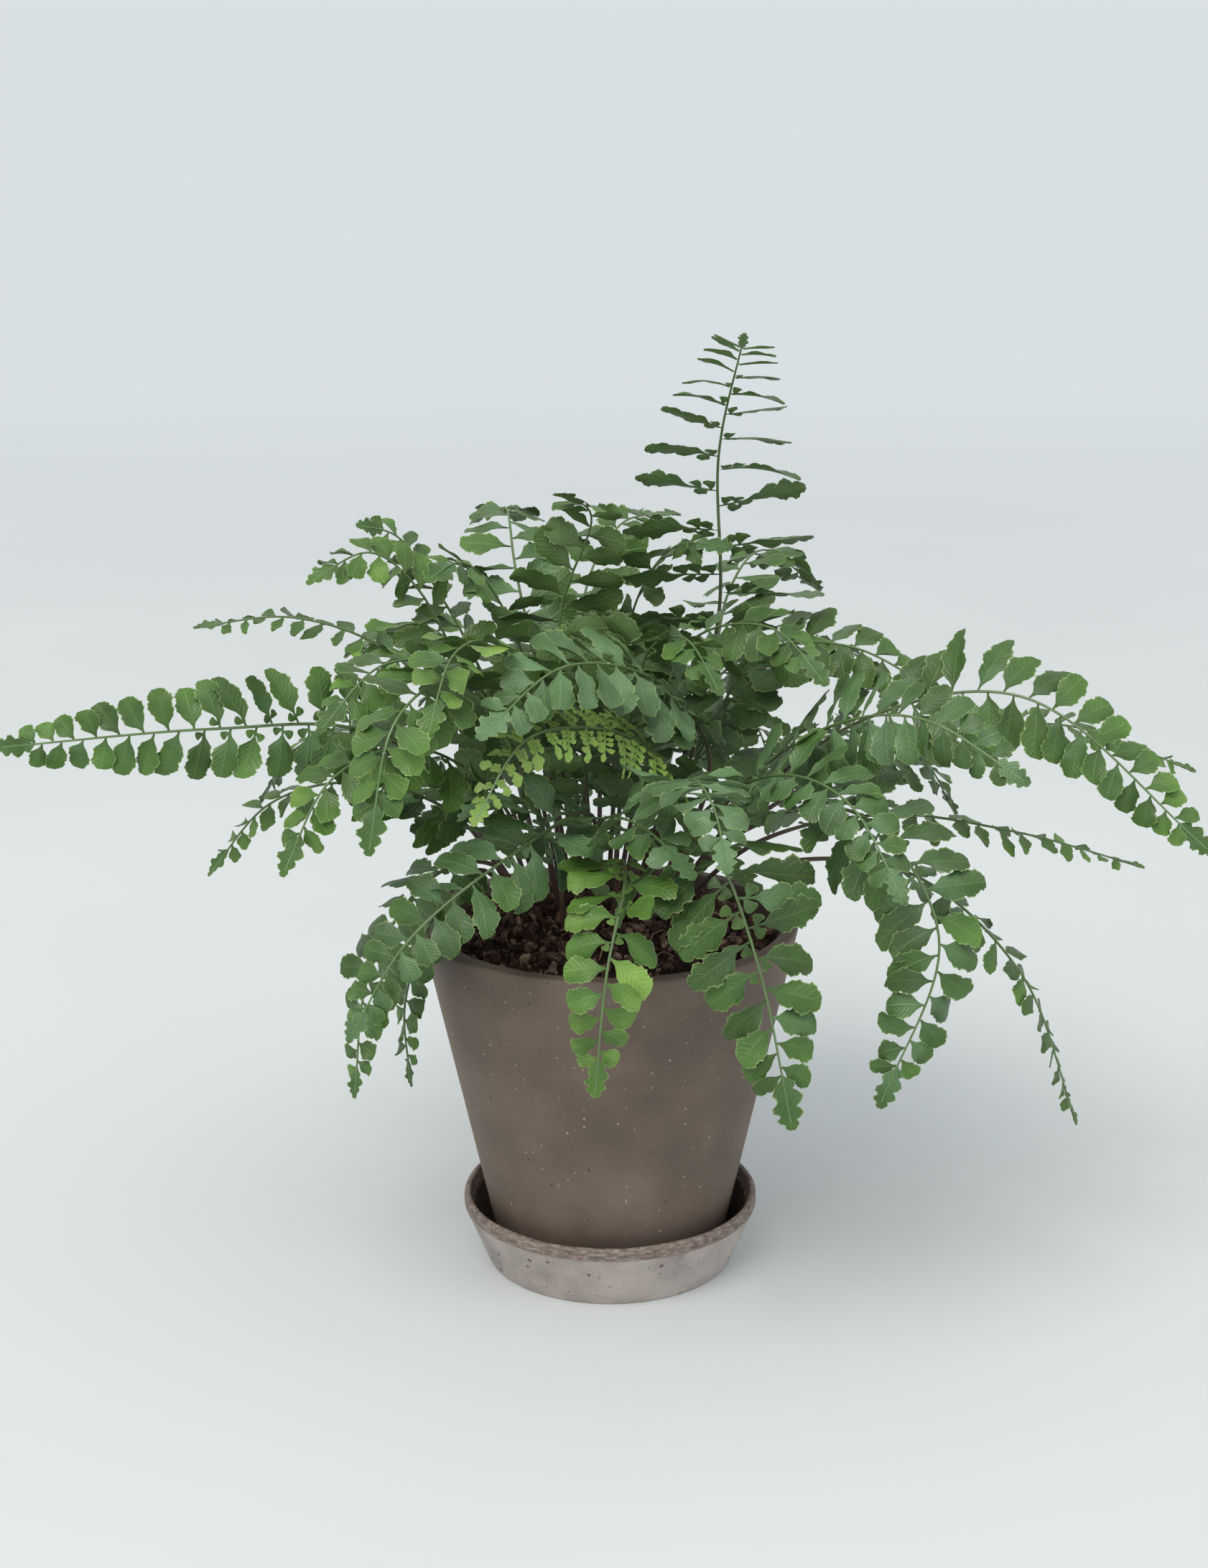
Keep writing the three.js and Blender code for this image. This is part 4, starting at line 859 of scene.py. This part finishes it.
def leafSheet(length, half, stemUp, stemLow, rows, **form):
    # A leaf in its own axes, as k grids of rows by five columns: x runs along it, y across, z off its face.
    # Half a width is a sine arch over the blade's share of the length. peak moves its widest place towards
    # the tip, point sharpens both ends, and wedge opens it from the stem. The edge is scalloped: every other
    # row is a notch of depth fine, and the fourth power of a cosine parts lobes of six rows by depth deep.
    # The side towards the frond's tip is widest nearer the stem. x leans forwards at the edge, as the veins
    # do, and y bows towards the frond's tip by sickle times the square of x. z is a crease at the midrib, an
    # edge that droops by cup, a slow wave, and a twist that grows along the leaf.
    keys = ("fine", "deep", "peak", "point", "wedge", "cup", "twirl", "phase", "sickle")
    length, half, stemUp, stemLow, fine, deep, peak, point, wedge, cup, twirl, phase, sickle = (
        np.broadcast_to(value, np.shape(length))[:, None] for value in
        (length, half, stemUp, stemLow, *(form[key] for key in keys)))
    bare = np.minimum(stemUp, stemLow)
    spread = 1 - (1 - np.arange(rows + 1) / rows) ** 1.2
    place = np.concatenate([bare * 0, bare * 0.5, bare + (1 - bare) * spread], 1)
    row = np.arange(rows + 3)
    sides = []
    for stem, shift, slip in ((stemLow, 3, 1.18), (stemUp, 0, 0.84)):
        share = np.clip((place - stem) / (1 - stem), 0, 1)
        arch = np.sin(math.pi * (0.03 + 0.93 * share ** (peak * slip))) ** point
        arch = arch * smoothstep(-0.06, wedge, share)
        notch = np.abs(np.cos(math.pi * (row + shift + np.floor(phase)) / 6)) ** 4
        teeth = np.where(row % 2 == 0, -fine, fine) * smoothstep(0.1, 0.25, share)
        bite = teeth - deep * notch * (share < 0.9)
        sides.append(np.maximum(arch * half * (1 + bite), frondShape["stemHalf"] * (1 - 0.35 * place)))
    low, high = sides
    edge = np.where(columns < 0, low[..., None], high[..., None])
    y = columns * edge
    blade = np.clip((place - bare) / (1 - bare), 0, 1)[..., None]
    lean = 0.3 * half[..., None] * np.abs(columns) ** 1.3 * np.sin(math.pi * blade)
    x = place[..., None] * length[..., None] + lean
    wave = np.sin(phase[..., None] + 7.0 * place[..., None] + 2.0 * np.sign(columns))
    z = (edge * (0.2 * np.abs(columns) - cup[..., None] * columns ** 2 + 0.2 * wave * columns ** 2)
         + twirl[..., None] * y * blade)
    y = y + (sickle * length)[..., None] * place[..., None] ** 2
    across = np.broadcast_to(0.5 + 0.5 * columns, x.shape)
    return x, y, z, across, np.broadcast_to(place[..., None], x.shape)


def thinFaces(lines):
    # Quads of a thin leaf body: a grid of lines by five columns on top, and under it the same grid, which
    # shares the top's outer edge and has points of its own inside
    top = np.arange(lines * 5).reshape(lines, 5)
    bottom = top.copy()
    bottom[1:-1, 1:-1] = lines * 5 + np.arange((lines - 2) * 3).reshape(lines - 2, 3)
    upper = np.stack([top[:-1, :-1], top[1:, :-1], top[1:, 1:], top[:-1, 1:]], -1).reshape(-1, 4)
    lower = np.stack([bottom[:-1, :-1], bottom[:-1, 1:], bottom[1:, 1:], bottom[1:, :-1]], -1).reshape(-1, 4)
    return np.vstack([upper, lower])


def thinBodies(x, y, z, across, place, axes, droop, length, tone, shade):
    # Leaf grids put into space on their own axes and closed underneath, bent down by the square of x
    foot, axis, wide, face = (value[:, None, None] for value in axes)
    z = z - (droop / length)[:, None, None] * x ** 2
    top = foot + axis * x[..., None] + wide * y[..., None] + face * z[..., None]
    under = (top - face * frondShape["thick"])[:, 1:-1, 1:-1]
    count, lines = x.shape[:2]
    points = np.concatenate([top.reshape(count, -1, 3), under.reshape(count, -1, 3)], 1)
    uv = np.stack([across, place], -1)
    uv = np.concatenate([uv.reshape(count, -1, 2), uv[:, 1:-1, 1:-1].reshape(count, -1, 2)], 1)
    size = points.shape[1]
    below = np.zeros((count, size))
    below[:, lines * 5:] = 1
    # the grid's winding runs along x and then across y, which looks down where the axes are right-handed
    hand = (np.cross(axes[1], axes[2]) * axes[3]).sum(-1) > 0
    quads = thinFaces(lines)
    faces = np.where(hand[:, None, None], quads[None, :, ::-1], quads[None])
    faces = faces + size * np.arange(count)[:, None, None]
    return {"points": points.reshape(-1, 3), "uv": uv.reshape(-1, 2), "under": below.ravel(),
            "tone": np.repeat(tone, size), "shade": np.repeat(shade, size), "faces": faces.reshape(-1, 4)}


def leafletBodies(rib, table, lifts, sizes, rng):
    # the leaflets in three sizes, the larger with more teeth
    bodies = []
    length = table["length"] * sizes
    for kind, low, high in (("small", 0.1, 14), ("middle", 14, 21), ("large", 21, 99)):
        pick = np.flatnonzero((length >= low) & (length < high))
        if len(pick):
            bodies += bladesOf(rib, table, pick, lifts, sizes, frondShape["leafletRows"][kind], rng)
    return bodies


def bladesOf(rib, table, pick, lifts, sizes, rows, rng):
    # the blades of the leaflets at pick, then the pinnules that stand free along their stems
    axes = leafletAxes(rib, table, pick, lifts[pick])
    length = table["length"][pick] * sizes[pick]
    half = table["half"][pick] * sizes[pick] ** 0.5
    free, droop, tone, shade = (table[key][pick] for key in ("free", "droop", "tone", "shade"))
    pairsUp, pairsLow = (np.minimum(free + more, 4).astype(int) for more in pinnule["more"])
    stride = pinnule["stride"] + pinnule["stretch"] * np.clip(free - 2, 0, 2)
    stemUp, stemLow = (pinnule["stem"] + stride * pairs for pairs in (pairsUp, pairsLow))
    # leaflets are fan-shaped where they bear no pinnules, and long with deeper lobes where they do
    large = np.clip((length - 14) / 10, 0, 1)
    lobed = np.clip(free - 1, 0, 1)
    narrow = table["narrow"]
    fan = np.clip(1 - free / 1.6, 0, 1) * narrow ** 2
    form = {"fine": 0.05, "deep": 0.16 + 0.1 * large + 0.12 * lobed, "peak": 0.84 + 0.26 * fan,
            "point": 0.66 - 0.12 * fan + 0.6 * (1 - narrow), "wedge": 0.18 + 0.06 * fan}
    form |= {key: table[key][pick] for key in ("cup", "twirl", "phase", "sickle")}
    grids = leafSheet(length, half, stemUp, stemLow, rows, **form)
    bodies = [thinBodies(*grids, axes, droop, length, tone, shade)]
    for rank in range(4):
        for side, pairs in ((1, pairsUp), (-1, pairsLow)):
            own = np.flatnonzero(pairs > rank)
            few, full = len(own), length[own]
            if not few:
                continue
            size = full * (pinnule["size"] - pinnule["sizeFall"] * full)
            size = size * (1 + pinnule["differ"] * rng.uniform(-1, 1, few))
            phase = rng.uniform(*pinnule["phase"], few)
            x, y, z, across, place = leafSheet(size, size * pinnule["half"], pinnule["foot"], pinnule["foot"],
                                               pinnule["rows"], phase=phase, **pinnuleForm)
            lean = pinnule["lean"] + pinnule["leanDiffer"] * rng.uniform(-1, 1, few)
            lean = np.radians(lean)[:, None, None]
            shift = pinnule["first"] + stride[own] * rank + (pinnule["lower"] if side < 0 else 0)
            newX = (full * shift)[:, None, None] + x * np.cos(lean) - y * np.sin(lean)
            newY = x * np.sin(lean) + y * np.cos(lean)
            tilt = rng.uniform(*pinnule["tilt"], few)[:, None, None]
            part = thinBodies(newX, side * newY, z + x * tilt, across, place, [a[own] for a in axes],
                              droop[own], full, tone[own], shade[own])
            if side < 0:
                part["faces"] = part["faces"][:, ::-1]
            bodies.append(part)
    return bodies


def endBody(rib, table, tone):
    # the leaflet at the frond's end, with deeper lobes; it is drawn to 0.96 of its length
    length = np.array([table["endLength"]])
    point, _, _, face = ribAt(rib, rib["length"] - length)
    end = ribAt(rib, np.array([rib["length"]]))[0]
    axis = unit(end - point)
    face = unit(face - axis * dot(face, axis))
    x, *rest = leafSheet(length, length * frondShape["endLeaf"][2], 0.02, 0.02,
                         frondShape["leafletRows"]["large"], **endForm)
    x = x * 0.96 * length / x[..., 2].max()
    axes = (point, axis, np.cross(face, axis), face)
    return thinBodies(x, *rest, axes, np.zeros(1), length, np.array([tone]), np.zeros(1))


def stalkBody(rib, bare, age):
    # the stalk and midrib: a grooved round profile carried along the midrib, thinner towards the tip
    distance = np.linspace(0, rib["length"] - 3, 64)
    point, _, side, face = ribAt(rib, distance)
    share = distance / rib["length"]
    radius = np.interp(share, [0, bare * 0.8, bare * 1.1, 1], frondShape["stalkRadius"])
    points, faces = tubes(point[None], side[None], face[None], radius[None], 8, 0.22)
    ripe = np.interp(share, [0, bare * 0.7, bare, bare + 0.25, 1], [0, 0.3, 0.48, 0.7, 1])
    size = len(points)
    # the paler brown is the bare stalk's own, and fades out where it turns green
    shade = age * (1 - smoothstep(bare * 0.7, bare, share))
    return {"points": points, "uv": np.zeros((size, 2)), "under": np.zeros(size), "tone": np.repeat(ripe, 8),
            "shade": np.repeat(shade, 8), "faces": faces[:, ::-1]}


ribs = {name: ribOf(frond) for name, frond in fronds.items()}
for owner, rib in enumerate(ribs.values(), 1):
    take(ribAt(rib, np.arange(0, rib["length"], 1.5))[0], owner)
leafletCount = 0
for owner, (name, frond) in enumerate(fronds.items(), 1):
    rng = np.random.default_rng(100 + owner)
    rib = ribs[name]
    table = leafletTable(frond, rib, usualGrowth | ownGrowth.get(name, {}), rng)
    lifts, sizes = bentClear(rib, table, owner)
    leafletCount += int((sizes > 0).sum())
    bodies = [stalkBody(rib, frond["bare"], rng.uniform(-1, 1)),
              *leafletBodies(rib, table, lifts, sizes, rng), endBody(rib, table, frond["tone"])]
    offsets = np.cumsum([0] + [len(body["points"]) for body in bodies])
    faces = [body["faces"] + offset for body, offset in zip(bodies, offsets)]
    # the first body is the stalk, with the first material
    slots = np.concatenate([np.full(len(block), min(index, 1)) for index, block in enumerate(faces)])
    points, uv, under, tone, shade = (np.concatenate([body[key] for body in bodies])
                                      for key in ("points", "uv", "under", "tone", "shade"))
    piece = newPiece("fern" + name, points * mm, faces, [stalkMaterial, leafMaterial], slots,
                     {"leafTone": tone, "leafShade": shade, "underSide": under}, uv)
    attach(piece, "root")
    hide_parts("frond" + name)
print("fronds made:", len(fronds), "with", leafletCount, "leaflets")


# floor and light
studio = {"floorRadius": 9.0, "floor": "#d0d4d5", "floorShade": "#cacfd0", "horizon": "#dee5e8",
          "zenith": "#eceff0", "skyStrength": 0.95, "fadeStart": 0.9, "fadeEnd": 3.5}
lights = {
    "softKey": {"place": (-1.2, -2.4, 3.8), "target": (0, 0, 0.15), "power": 130, "size": 3.0,
                "shade": "#fffbf2"},
    "softFill": {"place": (3.0, -1.6, 2.2), "target": (0, 0, 0.18), "power": 16, "size": 2.4,
                 "shade": "#f4f8ff"},
}


def addFloor(look):
    # The floor's own shader gives way, with distance, to a glow of the sky's colour, so no horizon shows
    material, tree, shader = newMaterial("paleMattFloor")
    place = addNode(tree, "TexCoord").outputs["Object"]
    cloud = addNode(tree, "TexNoise", {"Vector": place, "Scale": 2.0, "Detail": 2.0})
    tone = addNode(tree, "ValToRGB", {"Fac": cloud}, [(0.3, look["floorShade"]), (0.7, look["floor"])])
    join(tree, shader, {"Base Color": tone, "Roughness": 0.9})
    glow = addNode(tree, "Emission", {"Color": look["horizon"], "Strength": look["skyStrength"]})
    away = addNode(tree, "VectorMath", {0: place}, operation="LENGTH")
    fade = addNode(tree, "MapRange", {"Value": away.outputs["Value"], "From Min": look["fadeStart"],
                                      "From Max": look["fadeEnd"]}, interpolation_type="SMOOTHSTEP")
    mixed = addNode(tree, "MixShader", {0: fade, 1: shader, 2: glow})
    join(tree, tree.get_output_node("ALL"), {"Surface": mixed})
    points, faces = turned([(0.0, 0.0), (1.0, 0.0), (look["floorRadius"], 0.0)], 96)
    floor = newPiece("floor", points, [block[:, ::-1] for block in faces], [material])


def addLight(name, look):
    # a round soft light that looks at its target: back is its own Z axis
    data = bpy.data.lights.new(name, "AREA")
    data.shape, data.size, data.energy = "DISK", look["size"], look["power"]
    data.color = linear(look["shade"])[:3]
    light = bpy.data.objects.new(name, data)
    bpy.context.scene.collection.objects.link(light)
    back = unit(np.array(look["place"]) - np.array(look["target"]))
    level = unit(np.cross(up, back))
    axes = np.stack([level, np.cross(back, level), back], 1)
    light.matrix_world = Matrix([*[(*row, spot) for row, spot in zip(axes, look["place"])], (0, 0, 0, 1)])


def addSky(look):
    world = bpy.data.worlds.new("softSky")
    bpy.context.scene.world = world
    world.use_nodes = True
    tree = world.node_tree
    tree.nodes.clear()
    spot = addNode(tree, "SeparateXYZ", {"Vector": addNode(tree, "TexCoord").outputs["Generated"]})
    tone = addNode(tree, "ValToRGB", {"Fac": spot.outputs["Z"]},
                   [(0.05, look["horizon"]), (0.7, look["zenith"])])
    back = addNode(tree, "Background", {"Color": tone, "Strength": look["skyStrength"]})
    addNode(tree, "OutputWorld", {"Surface": back})


addFloor(studio)
for name, look in lights.items():
    addLight(name, look)
addSky(studio)
bpy.context.scene.view_settings.view_transform = "Standard"
print("floor and light made")
